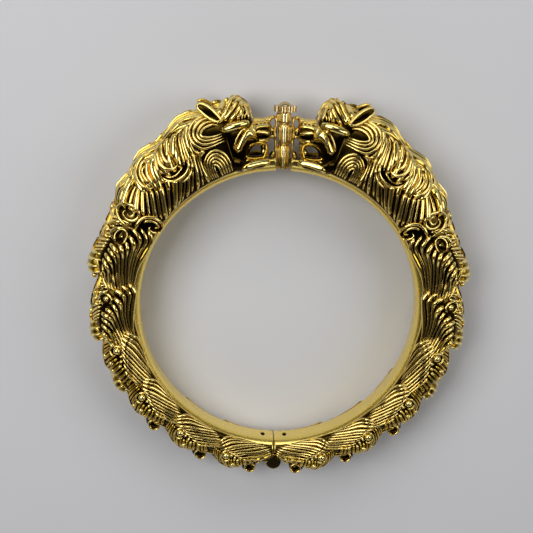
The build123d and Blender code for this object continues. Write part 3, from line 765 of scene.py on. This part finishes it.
MOUTH = [(6.3, 4.8), (6.5, 5.9), (8.4, 6.5), (10.6, 6.5), (12.4, 5.8), (13.5, 4.8), (13.4, 3.9), (12.0, 3.5),
         (9.5, 3.3), (7.2, 3.5)]
MOUTH_ACROSS = 3.9
for across in (MOUTH_ACROSS, -MOUTH_ACROSS):
    around_mouth = ring(*np.array(MOUTH).T, across) / MM
    rings, relief = rod(around_mouth, 0.45, 0.9, closed=True, steps=60)
    # The mouth's edge is painted a darker orange, as half shade.
    face.add(rings, relief * 0.65, loop=True)
print("face with the mouth's edge:", face.count, "points")

# %% [markdown]
# An ear is a thin leaf with a raised rim, cast with the head and laid back over the mane. A bent rod makes
# the rim, leaned towards the crest, and a flat ellipsoid fills it, painted near black as the shade in the
# ear's hollow.

# %% Ears
EAR = [(18.0, 13.0), (19.1, 14.7), (20.4, 16.3), (21.7, 17.3), (22.7, 17.4), (22.9, 16.6), (22.1, 15.2),
       (20.9, 13.9), (19.3, 12.9)]
EAR_LEAN = 0.35
EAR_ROOT = 13
EAR_ACROSS = 5.3
ear_angle, ear_up = np.array(EAR).T
for side in (1, -1):
    ear_across = side * (EAR_ACROSS - EAR_LEAN * (ear_up - EAR_ROOT))
    rings, relief = rod(ring(ear_angle, ear_up, ear_across) / MM, 0.38, 0.6, closed=True, steps=60)
    face.add(rings, relief, loop=True)
# The ear's filling is painted near black, as the shade in its hollow.
face.add_both(*lump(20.5, 15.1, 4.5, (2.9, 0.8, 0.6), lean=50, steps=20, relief=0.0))
print("face with ears:", face.count, "points")

# %% [markdown]
# The small heads down each half are one pattern at six sizes. Each has an eye in a socket painted near black
# as shade, strands that sweep from under it to a narrow tail, tufts over the brow and a snout that stands
# out. The tables give places in per cent of a head, so that one pattern can be laid on all six. Only the
# crest and the chin have shares and mm across the ring, because they are laid from side to side.

# %% Tables of the small heads
Head = namedtuple("Head", "eye muzzle brow nose eye_up low size run")
HEADS = [
    Head(65.0, 75.5, 11.3, 12.9, 7.2, 1.2, 1.0, 1.0), Head(86.9, 97.5, 9.9, 11.8, 6.9, 1.2, 0.92, 1.0),
    Head(105.4, 116.6, 9.4, 10.6, 5.8, 0.8, 0.84, 1.0), Head(124.5, 135.3, 8.6, 9.6, 5.2, 0.7, 0.80, 1.0),
    Head(143.7, 153.9, 8.1, 9.2, 4.7, 0.7, 0.76, 1.0), Head(162.5, 171.4, 7.9, 8.8, 4.7, 0.7, 0.72, 1.22),
]
LARGE = 0.9
RIDGED = 0.82
LAST_ANGLE = 179.2
FLOW = [
    [(-63, 18), (-41, 7), (-14, 3), (23, 4), (59, 6), (105, 7), (159, 5)],
    [(-54, 34), (-38, 17), (-14, 11), (23, 12), (59, 13), (114, 11), (177, 7)],
    [(-41, 51), (-32, 34), (-17, 23), (14, 20), (50, 20), (114, 16), (186, 10)],
    [(-17, 48), (-6, 36), (9, 29), (41, 27), (77, 24), (132, 18), (192, 12)],
    [(5, 49), (18, 41), (36, 36), (68, 32), (95, 28), (141, 22), (192, 16)],
    [(22, 58), (32, 50), (50, 43), (77, 38), (105, 34), (150, 27), (192, 20)],
    [(34, 74), (41, 61), (57, 51), (86, 44), (114, 39), (159, 31), (192, 25)],
    [(50, 76), (59, 63), (75, 53), (100, 48), (123, 43), (159, 36), (190, 30)],
    [(66, 78), (79, 65), (95, 57), (118, 51), (141, 47), (168, 41), (190, 36)],
    [(84, 78), (98, 67), (114, 60), (132, 55), (150, 52), (168, 47), (186, 42)],
    [(102, 77), (114, 71), (128, 66), (142, 62), (155, 57), (168, 53), (182, 48)],
    [(126, 72), (133, 70), (141, 67), (150, 65), (160, 62), (170, 58), (180, 53)],
]
LOW_FLOW = [
    [(-56, 30), (-36, 13), (-10, 3), (30, 0), (75, 1)],
    [(-48, 40), (-27, 24), (-2, 12), (42, 6), (98, 3)],
    [(-34, 46), (-10, 34), (18, 23), (65, 13), (122, 5)],
    [(-14, 46), (12, 38), (45, 28), (90, 18), (135, 9)],
    [(6, 48), (35, 42), (65, 35), (105, 26), (150, 15)],
    [(34, 52), (60, 47), (90, 41), (122, 34), (160, 23)],
    [(66, 56), (86, 52), (108, 47), (132, 41), (160, 32)],
]
HIGH_NAPE = [
    [(-50, 52), (-44, 74), (-36, 92)],
    [(-36, 66), (-26, 84), (-10, 100)],
    [(-20, 80), (-8, 92), (10, 103)],
    [(2, 74), (10, 88), (28, 104)],
    [(20, 78), (30, 90), (48, 104)],
    [(42, 80), (52, 91), (68, 102)],
    [(62, 84), (72, 94), (84, 102)],
]
LOW_NAPE = [
    [(-58, 42), (-46, 72), (-28, 94)],
    [(-42, 46), (-30, 76), (-10, 100)],
    [(-26, 50), (-13, 78), (9, 103)],
    [(-6, 70), (5, 86), (24, 104)],
    [(13, 66), (25, 84), (42, 104)],
    [(32, 62), (44, 82), (60, 102)],
    [(52, 56), (64, 76), (78, 98)],
    [(74, 48), (87, 66), (98, 84)],
    [(98, 44), (108, 58), (122, 70)],
]
CURLS = [
    [(-62, 92), (-60, 106), (-50, 113), (-40, 108), (-37, 96), (-42, 86)],
    [(-36, 88), (-32, 102), (-20, 108), (-6, 103), (-2, 94)],
    [(0, 92), (6, 103), (20, 108), (36, 108), (48, 100)],
    [(48, 96), (60, 103), (74, 104), (86, 110)],
    [(-40, 72), (-26, 84), (-8, 90), (6, 86)],
    [(-28, 62), (-14, 74), (6, 78), (20, 72)],
    [(2, 86), (14, 92), (26, 84)],
]
PEARLS = [(20, 52), (36, 57), (50, 64)]
KNOBS = [(-50, 106), (6, 99), (22, 99)]
LOW_KNOBS = [(16, 96), (36, 84), (60, 86)]
CREST = [
    [(-0.58, 0.35), (-0.20, 0.45), (0.20, 0.45), (0.74, 0.40)],
    [(-0.60, 1.7), (-0.20, 2.0), (0.20, 2.0), (0.72, 1.6)],
    [(-0.62, 3.1), (-0.20, 3.5), (0.20, 3.4), (0.70, 2.8)],
]
CHIN = [
    [(0.95, 0.35), (1.20, 0.40), (1.46, 0.35)],
    [(0.95, 1.7), (1.20, 1.8), (1.46, 1.7)],
    [(0.95, 4.0), (1.20, 4.3), (1.46, 4.2)],
]
Lobe = namedtuple("Lobe", "shift up across sizes steps around lean relief fullness",
                  defaults=(0.0, 0.9, 1.0))
# A lobe's relief value paints shade: 0 paints the nostrils near black as the shade in them, and 0.35 paints
# the ridged block a dark brown as painted shade.
RIDGED_SNOUT = [
    Lobe(1.2, -3.0, 0, (2.7, 2.5, 4.1), 26, 36, relief=0.35, fullness=0.75),
    *(Lobe(shift, up, 0, (0.58, 2.6, wide), 20, 22, -14, fullness=0.85)
      for shift, up, wide in ((-2.2, -3.1, 4.4), (-0.2, -2.8, 4.8), (1.8, -2.8, 4.9), (3.6, -3.4, 4.5))),
    Lobe(0.8, -4.4, 4.5, (0.5, 0.5, 0.6), 14, 20, relief=0.0),
    Lobe(2.8, -4.0, 4.5, (0.5, 0.5, 0.6), 14, 20, relief=0.0),
    Lobe(-3.6, -4.4, 4.0, (0.7, 1.0, 0.7), 16, 20, -30),
    Lobe(-5.2, -3.4, 3.6, (0.9, 1.0, 0.8), 16, 20),
    Lobe(3.2, -4.3, 0, (1.8, 0.55, 2.9), 20, 24, 10),
]
# The round nose's value of 0 paints it near black, as painted shade and dark reflection.
ROUND_SNOUT = [
    Lobe(0.4, -1.5, 0, (2.3, 1.75, 2.7), 26, 36, relief=0.0, fullness=0.85),
    Lobe(-2.6, -2.3, 0, (0.5, 1.2, 2.6), 20, 22, -35),
    Lobe(-4.0, -2.7, 0, (0.5, 1.1, 2.8), 20, 22, -35),
    Lobe(3.7, -3.5, 1.4, (1.1, 0.5, 1.2), 14, 20, -30),
    Lobe(2.2, -3.9, 2.0, (0.8, 0.5, 0.8), 14, 20),
]
print("strand guides of a large and a low head:", len(FLOW), len(LOW_FLOW))

# %% [markdown]
# Each form of a small head gets a function of its own. The eye is a ball in a dish painted near black as
# shade, with a bright rim. The snout is a block with ridges on the larger heads, and on the low ones a ball
# painted near black, as painted shade and dark reflection, in a golden ring, as the photograph shows them
# from the side.

# %% Forms of the small heads
EYE_BASE = 0.50
EYE_GROWTH = 0.65
FIRST_EYE_LONG = 1.35
FIRST_EYE_HIGH = 0.85
SOCKET_DEEP = 0.7
FIRST_BALL = 0.35
SECOND_BALL = 0.65
LOW_BALL = (0.8, 0.8, 0.75)
RIM_FROM = 330
RIM_TO = 20
NOSE_RING_LONG = 1.5
NOSE_RING_HIGH = 1.35
NOSE_RING_UP = -1.55
NOSE_RING_SHIFT = 0.8
NOSE_RING_ACROSS = 2.3


def on_head(head, guides):
    """Per cent of the way from eye to muzzle and from the lowest strand to the brow, to angle and height.

    The head's run stretches what lies past the muzzle."""
    guides = np.asarray(guides) / 100
    shares = guides[..., 0] * np.where(guides[..., 0] > 1.0, head.run, 1.0)
    angle = head.eye + shares * (head.muzzle - head.eye)
    return np.stack([np.minimum(angle, LAST_ANGLE), head.low + guides[..., 1] * (head.brow - head.low)], -1)


def on_flank(angle, up):
    """How far across the ring the coat's own surface lies at a place, in mm."""
    return coat.point(angle, coat.phi(angle, up))[2] / MM


def beads(head, places, sizes, proud, into, around=14, lean=0.0):
    """Small ellipsoids at places in per cent of the head, their middles proud of the coat by some mm."""
    for place_on_head in places:
        angle, up = on_head(head, place_on_head)
        across = on_flank(angle, min(up, head.brow)) + proud
        into.add_both(*lump(angle, up, across, sizes, lean, 10, around))


def eye(head, into):
    """A ball in a socket painted near black as shade, with a bright rim, open towards the muzzle; long on the
    first head.
    """
    across = on_flank(head.eye, head.eye_up)
    first = head.size == 1
    reach = EYE_BASE + EYE_GROWTH * head.size
    long = reach * (FIRST_EYE_LONG if first else 1.0)
    high = reach * (FIRST_EYE_HIGH if first else 1.0)
    socket = (long, high, SOCKET_DEEP)
    # The socket's value of 0 paints it near black, as painted shade.
    into.add_both(*lump(head.eye, head.eye_up, across + 0.1, socket, steps=14, around=24, relief=0.0))
    clock = np.radians(np.linspace(RIM_FROM, RIM_TO, 16))
    rim_angle = head.eye + np.degrees((long + 0.15) * np.cos(clock) / (BORE_RADIUS + head.eye_up))
    rim = np.stack([rim_angle, head.eye_up + (high + 0.1) * np.sin(clock)], -1)
    into.add_both(*lock(coat, rim, 0.55, crown=0.5, lift=0.45, tip=0.1, root=0.1, steps=26))
    if head.size > LARGE:
        ball = (FIRST_BALL if first else SECOND_BALL,) * 3
        into.add_both(*lump(head.eye - 0.2, head.eye_up, across + 0.5, ball, steps=14, around=20))
    else:
        into.add_both(*lump(head.eye - 0.1, head.eye_up, across + 0.7, LOW_BALL, steps=14, around=20))


def snout(head, into):
    """A block with ridges, nostrils and a lip, or a round nose with a golden ring on both of its sides.

    A lobe's shift from the muzzle is in degrees, and the rest in mm of the largest head."""
    size = head.size
    ridged = size > RIDGED
    for lobe in RIDGED_SNOUT if ridged else ROUND_SNOUT:
        middle = (head.muzzle + lobe.shift, head.nose + lobe.up * size, lobe.across * size)
        shape = lump(*middle, size * np.array(lobe.sizes), lobe.lean, lobe.steps, lobe.around, lobe.relief,
                     lobe.fullness)
        add = into.add_both if lobe.across else into.add
        add(*shape)
    if not ridged:
        turn = np.linspace(0, 2 * np.pi, 12, endpoint=False)
        along = np.degrees(NOSE_RING_LONG * size * np.cos(turn) / (BORE_RADIUS + head.nose))
        up = head.nose + size * (NOSE_RING_UP + NOSE_RING_HIGH * np.sin(turn))
        rim = ring(head.muzzle + NOSE_RING_SHIFT + along, up, NOSE_RING_ACROSS * size) / MM
        rings, relief = rod(rim, 0.36 * size, 0.7 * size, closed=True, steps=32)
        for flank in ([1, 1, 1], [1, 1, -1]):
            into.add(rings * flank, relief, loop=True)


print("mm across at the eyes:", [round(float(on_flank(h.eye, h.eye_up)), 2) for h in HEADS])

# %% [markdown]
# A small head is put together from the back: strands of the nape, curls and tufts over the crest, the long
# strands that sweep back under the eye, then beads, eye and snout. One function does it for all six.

# %% Small heads


def small_head(head, into):
    """The strands of nape and cheek, then beads, eye and snout, of one small head."""
    large = head.size > LARGE
    fan(coat, on_head(head, HIGH_NAPE if large else LOW_NAPE), 12 if large else 15, into,
        lifts=(0.0, 0.15, 0.05, 0.1), swells=(1.1, 0.8, 1.2, 0.85), rounding=0.65, tip=0.3, root=0.1,
        finish=0.3, steps=12, most=0.8, shade=1.0 if large else 0.6)
    if large:
        for curl in CURLS:
            into.add_both(*lock(coat, on_head(head, curl), 0.95 * head.size, crown=0.6, lift=0.4, finish=0.4,
                                root=0.2, steps=20))
        beads(head, KNOBS, (0.6, 0.6, 0.6), 0.2, into, around=16)
    for guides in (CREST, CHIN):
        guides = np.array(guides)
        guides[..., 0] = head.eye + guides[..., 0] * (head.muzzle - head.eye)
        guides[..., 1] *= head.size
        crest_fan(coat, guides, 6, into, crown=0.4, steps=14)
    fan(coat, on_head(head, FLOW if large else LOW_FLOW), round(12 * head.size) if large else 10, into,
        lifts=(0.3, 0.1, 0.2), swells=(1.1, 0.85, 1.0), rounding=0.65, tip=0.12, root=0.08, finish=0.35,
        steps=23, most=1.1, hump=0.45)
    if not large:
        beads(head, LOW_KNOBS, (0.5, 0.62, 0.55), 0.35, into, lean=30)
        beads(head, PEARLS, (0.34, 0.5, 0.45), 0.3, into)
    eye(head, into)
    snout(head, into)


small = Casting()
for head in HEADS:
    small_head(head, small)
print("small heads:", len(HEADS))

# %% [markdown]
# The plain band that lies on the wrist is a rounded strip under the relief, satin from handling. It could be
# an extruded curve, but as rings of one section it can also be dented where the casting's vent hole is.

# %% Liner
LINER_HALF = 4.2
LINER_HEIGHT = 2.7
LINER_EDGE = 2.4
LINER_START = 2.9
SLIT = 0.24
VENT_ANGLE = 175.4
VENT_RADIUS = 0.40
VENT_LENGTH = 2.2
VENT_DEPTH = 0.7


def liner():
    """The band's section, a rounded rectangle, carried round the half ring; the vent is a deep dent, painted
    near black inside as shade.

    The dent falls off as exp(-d^6), with d the distance from its middle over its radius, so it has steep
    sides and a flat floor."""
    turn = np.linspace(-np.pi / 2, 0, 22)
    flat = LINER_HALF - LINER_EDGE
    side_across = flat + LINER_EDGE * np.cos(turn)
    side_up = LINER_EDGE + LINER_EDGE * np.sin(turn)
    middle = np.linspace(-flat, flat, 22)[1:-1]
    across = np.concatenate([middle, side_across, [LINER_HALF, -LINER_HALF], -side_across[::-1]])
    up = np.concatenate([0 * middle, side_up, [LINER_HEIGHT, LINER_HEIGHT], side_up[::-1]])
    end = 180 - np.degrees(SLIT / 2 / BORE_RADIUS)
    close = VENT_ANGLE + np.linspace(-1.2, 1.2, 31)
    angle = np.unique(np.concatenate([np.linspace(LINER_START, end, 300), close]))[:, None]
    along = np.radians(angle - VENT_ANGLE) * BORE_RADIUS
    distance = (along**2 + (across / VENT_LENGTH) ** 2) / VENT_RADIUS**2
    near = np.exp(-(distance**3)) * (up < LINER_HEIGHT)
    # The value falls to 0 in the vent, which paints its hollow near black as shade.
    relief = 0.9 - 0.9 * np.clip(3 * near, 0, 1)
    return ring(angle, up + VENT_DEPTH * near, across), relief


band = Casting()
band.add(*liner())
print("band:", band.count, "points")

# %% [markdown]
# The clasp is three tubes in line, one on one half and two on the other, with the screw down their middle.
# On the real bangle they are soldered to webs that grow out of the lions' mouths. Their bore is that of the
# solids, so the screw still turns in them, and their outside lies within 0.1 mm of the solids. A tube is a
# section turned about its axis, which Blender's Screw modifier could do too, but the arrays carry the relief.

# %% Clasp tubes
SLEEVE_AROUND = 48
SLEEVE_EDGE = 0.18
SCREW_BORE = 0.8
KNUCKLE_RADIUS = 1.28
BAR_ACROSS = 1.15
BAR_DEEP = 0.4
BAR_WIDE = 0.36
BAR_FLARE = 0.26 / 12
BAR_INSET = 0.06
BEAD_ACROSS = 0.85
BEAD_DEEP = 0.35
BEAD_INSET = 0.3
BEADS_AT = ((-1.0, 0.32), (1.0, 0.34), (1.45, 0.3))
KNUCKLES = (("right", 5.35, 9.7), ("left", 0.2, 5.2), ("left", 9.87, 12.35))


def sleeve(low, high, radius, bore):
    """A tube along Z from low to high: its section, a rounded box from bore to radius, turned about Z."""
    corner = np.linspace(0, np.pi / 2, 4)
    outer = radius - SLEEVE_EDGE + SLEEVE_EDGE * np.cos(corner)
    inner = bore + SLEEVE_EDGE - SLEEVE_EDGE * np.cos(corner[::-1])
    rise = SLEEVE_EDGE * np.sin(corner)
    r = np.concatenate([outer, inner])
    z = high - SLEEVE_EDGE + np.concatenate([rise, rise[::-1]])
    r, z = np.concatenate([r, r[::-1]]), np.concatenate([z, low + high - z[::-1]])
    turn = np.linspace(0, 2 * np.pi, SLEEVE_AROUND, endpoint=False)[:, None]
    rings = np.stack(np.broadcast_arrays(r * np.cos(turn), r * np.sin(turn), z), -1)
    return rings, np.full(rings.shape[:2], 0.8)


def knuckle(low, high, into, into_highlight_bars):
    """A tube of the clasp, along Y, with a whitish rod down each flank that paints its highlight, and three
    thin beads beside it, painted darker as the tube's shaded sides.
    """
    rings, relief = sleeve(low, high, KNUCKLE_RADIUS, SCREW_BORE)
    into.add(rings[..., [0, 2, 1]] * [1, 1, -1] * MM, relief, loop=True)
    middle = (low + high) / 2
    bar_rows = (low + BAR_INSET, middle, high - BAR_INSET)
    bar_wide = [BAR_WIDE + BAR_FLARE * (y - BORE_RADIUS) for y in bar_rows]
    for side in (1, -1):
        # The whitish rod on each flank is a painted highlight, where the tube's top catches the light.
        highlight_path = [(0, y, BAR_ACROSS * side) for y in bar_rows]
        into_highlight_bars.add(*rod(highlight_path, bar_wide, BAR_DEEP, around=20, steps=30))
        for x, wide in BEADS_AT:
            path = [(x, y, BEAD_ACROSS * side) for y in (low + BEAD_INSET, middle, high - BEAD_INSET)]
            rings, relief = rod(path, wide, BEAD_DEEP, around=16, steps=30)
            # The beads are painted a shade darker, as the tube's shaded sides.
            into.add(rings, relief * 0.6)


clasps = {"right": Casting(), "left": Casting()}
highlight_bars = {"right": Casting(), "left": Casting()}
for side, low, high in KNUCKLES:
    knuckle(BORE_RADIUS + low, BORE_RADIUS + high, clasps[side], highlight_bars[side])
print("clasp tubes:", {side: casting.count for side, casting in clasps.items()}, "points")

# %% [markdown]
# The lug is a pierced web between the tubes and the jaws. A plate with holes would look cut; bent rods that
# run into each other leave windows with the soft edges of a casting.

# %% Lug
LUG_DEEP = 1.3
LUG = [
    [(1.9, 11.4, 0.4), (1.85, 10.8, 0.38), (1.76, 9.8, 0.27), (1.9, 8.9, 0.42), (2.1, 8.0, 0.55),
     (2.0, 7.0, 0.45), (1.85, 6.2, 0.35)],
    [(2.0, 11.3, 0.4), (2.8, 11.1, 0.45), (3.3, 10.4, 0.42), (3.25, 9.5, 0.4), (2.8, 8.7, 0.45),
     (2.3, 8.0, 0.5)],
    [(1.85, 6.6, 0.36), (1.8, 5.4, 0.3), (1.8, 4.4, 0.3), (1.85, 3.4, 0.36)],
    [(1.95, 4.0, 0.4), (2.4, 3.2, 0.6), (2.6, 2.2, 0.75), (2.3, 1.3, 0.7), (2.0, 0.9, 0.42)],
    [(2.9, 10.6, 0.5), (3.8, 10.6, 0.6), (4.8, 10.0, 0.6)],
    [(2.5, 8.3, 0.5), (3.4, 8.3, 0.55), (4.6, 8.2, 0.55)],
    [(2.0, 7.2, 0.5), (3.2, 7.0, 0.55), (4.6, 6.8, 0.6)],
    [(2.5, 2.3, 0.7), (3.3, 2.2, 0.8), (4.6, 2.2, 0.8)],
]
for casting in clasps.values():
    for web in LUG:
        x, up, wide = np.array(web).T
        path = np.stack([x, BORE_RADIUS + up, 0 * x], -1)
        casting.add(*rod(path, wide, LUG_DEEP, steps=30))
print("webs of the lug:", len(LUG))

# %% [markdown]
# The hinge is a short barrel cut in three, its middle third on one half, with a leaf behind each piece. The
# pin that runs down it is the imported solid itself, painted near black as the shade in the barrel's recessed
# end, and the barrel is painted a shade darker than the rest of the clasp.

# %% Hinge
HINGE_REACH = 35.06
BARREL = 1.72
BARREL_BORE = 0.86
BARREL_END = 4.38
MIDDLE = 1.49
BARREL_GAP = 0.16
LEAF_INSET = 0.1
LEAF_FROM = 0.3
LEAF_TO = 2.4
LEAF_SUNK = 2.0
BARRELS = (("right", -MIDDLE, MIDDLE), ("left", MIDDLE + BARREL_GAP, BARREL_END),
           ("left", -BARREL_END, -MIDDLE - BARREL_GAP))


def leaf(low, high):
    """A box from the barrel's axis back to the casting, in metres, as a tube of two square rings."""
    y = np.array([-HINGE_REACH, -BORE_RADIUS - LEAF_SUNK])[:, None]
    x = np.array([LEAF_FROM, LEAF_TO, LEAF_TO, LEAF_FROM])
    z = np.array([low, low, high, high])
    rings = np.stack(np.broadcast_arrays(x, y, z), -1) * MM
    return rings, np.full(rings.shape[:2], 0.7)


for side, low, high in BARRELS:
    rings, relief = sleeve(low, high, BARREL, BARREL_BORE)
    # The barrel's lowered value paints it a shade darker, as painted shade.
    clasps[side].add((rings - [0, HINGE_REACH, 0]) * MM, relief * 0.6, loop=True)
    clasps[side].add(*leaf(low + LEAF_INSET, high - LEAF_INSET))
print("clasp and hinge:", {side: casting.count for side, casting in clasps.items()}, "points")

# %% [markdown]
# The bangle is one pattern cast twice. The arrays are made into meshes once for each half, mirrored for the
# left one, and every mesh stands in for its half's solid and moves with it.

# %% Make the pieces
ON_BOTH = [("core", coat_piece, polished), ("mane", mane, polished), ("face", face, polished),
           ("small_heads", small, polished), ("band", band, satin)]
for side in ("right", "left"):
    node = f"{side}_half"
    for name, casting, finish in [*ON_BOTH, ("clasp", clasps[side], amber), ("highlight_bars", highlight_bars[side], painted_highlight)]:
        piece = casting.make(f"{side}_{name}", side, finish, mirrored=side == "left")
        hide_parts(node)
# The pin's near-black finish is painted shade in the barrel's recessed end.
for name, finish in (("clasp_screw", dusty), ("hinge_pin", pin_shade)):
    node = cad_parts[name]
    node.data.materials.clear()
    node.data.materials.append(finish)

# %% [markdown]
# The bangle lies on its side, on pale paper. It would rest on the mane and on the hinge's end, so the sheet
# is tipped by under two degrees instead of the bangle, which has to stay where the solids are.

# %% Floor
FLOOR_SIZE = 0.6
FLOOR_TIP = 1.6
FLOOR_LOW = -7.95
FLOOR_TOUCH = 36.0


def add_floor():
    """A level sheet but for its tip, through a line under the mane."""
    slope = np.tan(np.radians(FLOOR_TIP))
    corners = [(-FLOOR_SIZE, -FLOOR_SIZE), (FLOOR_SIZE, -FLOOR_SIZE), (FLOOR_SIZE, FLOOR_SIZE),
               (-FLOOR_SIZE, FLOOR_SIZE)]
    points = [(x, y, FLOOR_LOW * MM - (y - FLOOR_TOUCH * MM) * slope) for x, y in corners]
    mesh = bpy.data.meshes.new("floor")
    mesh.from_pydata(points, [], [(0, 1, 2, 3)])
    material = bpy.data.materials.new("floor_paper")
    material.use_nodes = True
    shader = material.node_tree.nodes["Principled BSDF"]
    shader.inputs["Base Color"].default_value = (0.72, 0.72, 0.74, 1)
    shader.inputs["Roughness"].default_value = 0.6
    mesh.materials.append(material)
    floor = place("floor", mesh)
    return floor


print("stage:", add_floor().name)

# %% [markdown]
# Polished metal looks like whatever is round it. Soft boxes give long highlights, and a grey room that is
# brighter round the horizon fills the lower flanks. Its dark zenith keeps the faces that look upwards from
# turning flat and white, which a photograph of the sky as a background would not.

# %% Light and surroundings
Light = namedtuple("Light", "name place size power")
LIGHTS = [
    Light("left", (-0.27, 0.14, 0.42), (0.34, 0.30), 1.35),
    Light("right", (0.38, 0.07, 0.34), (0.20, 0.38), 0.72),
    Light("far", (0.0, 0.46, 0.30), (0.50, 0.20), 0.78),
    Light("near", (0.0, -0.46, 0.26), (0.46, 0.14), 0.18),
]
ROOM = [(0.0, 0.12), (0.25, 0.10), (0.50, 0.05), (0.70, 0.012), (1.0, 0.006)]
for light in LIGHTS:
    data = bpy.data.lights.new(light.name, "AREA")
    data.shape = "RECTANGLE"
    data.size, data.size_y = light.size
    data.energy = light.power
    box = place(light.name, data)
    box.location = light.place
    box.rotation_euler = (-box.location).to_track_quat("-Z", "Y").to_euler()


def add_room():
    """A grey room whose brightness falls from the horizon, and all below it, to the zenith."""
    world = bpy.data.worlds.new("room")
    world.use_nodes = True
    nodes, links = world.node_tree.nodes, world.node_tree.links
    where = nodes.new("ShaderNodeTexCoord")
    split = nodes.new("ShaderNodeSeparateXYZ")
    ramp = nodes.new("ShaderNodeValToRGB")
    stops = ramp.color_ramp.elements
    links.new(where.outputs["Generated"], split.inputs["Vector"])
    links.new(split.outputs["Z"], ramp.inputs["Fac"])
    for share, grey in ROOM:
        stop = stops.new(share) if 0 < share < 1 else stops[-int(share)]
        stop.color = (grey, grey, grey, 1)
    links.new(ramp.outputs["Color"], nodes["Background"].inputs["Color"])
    bpy.context.scene.world = world


add_room()
bpy.context.scene.view_settings.view_transform = "Standard"
print("lights:", [light.name for light in LIGHTS])
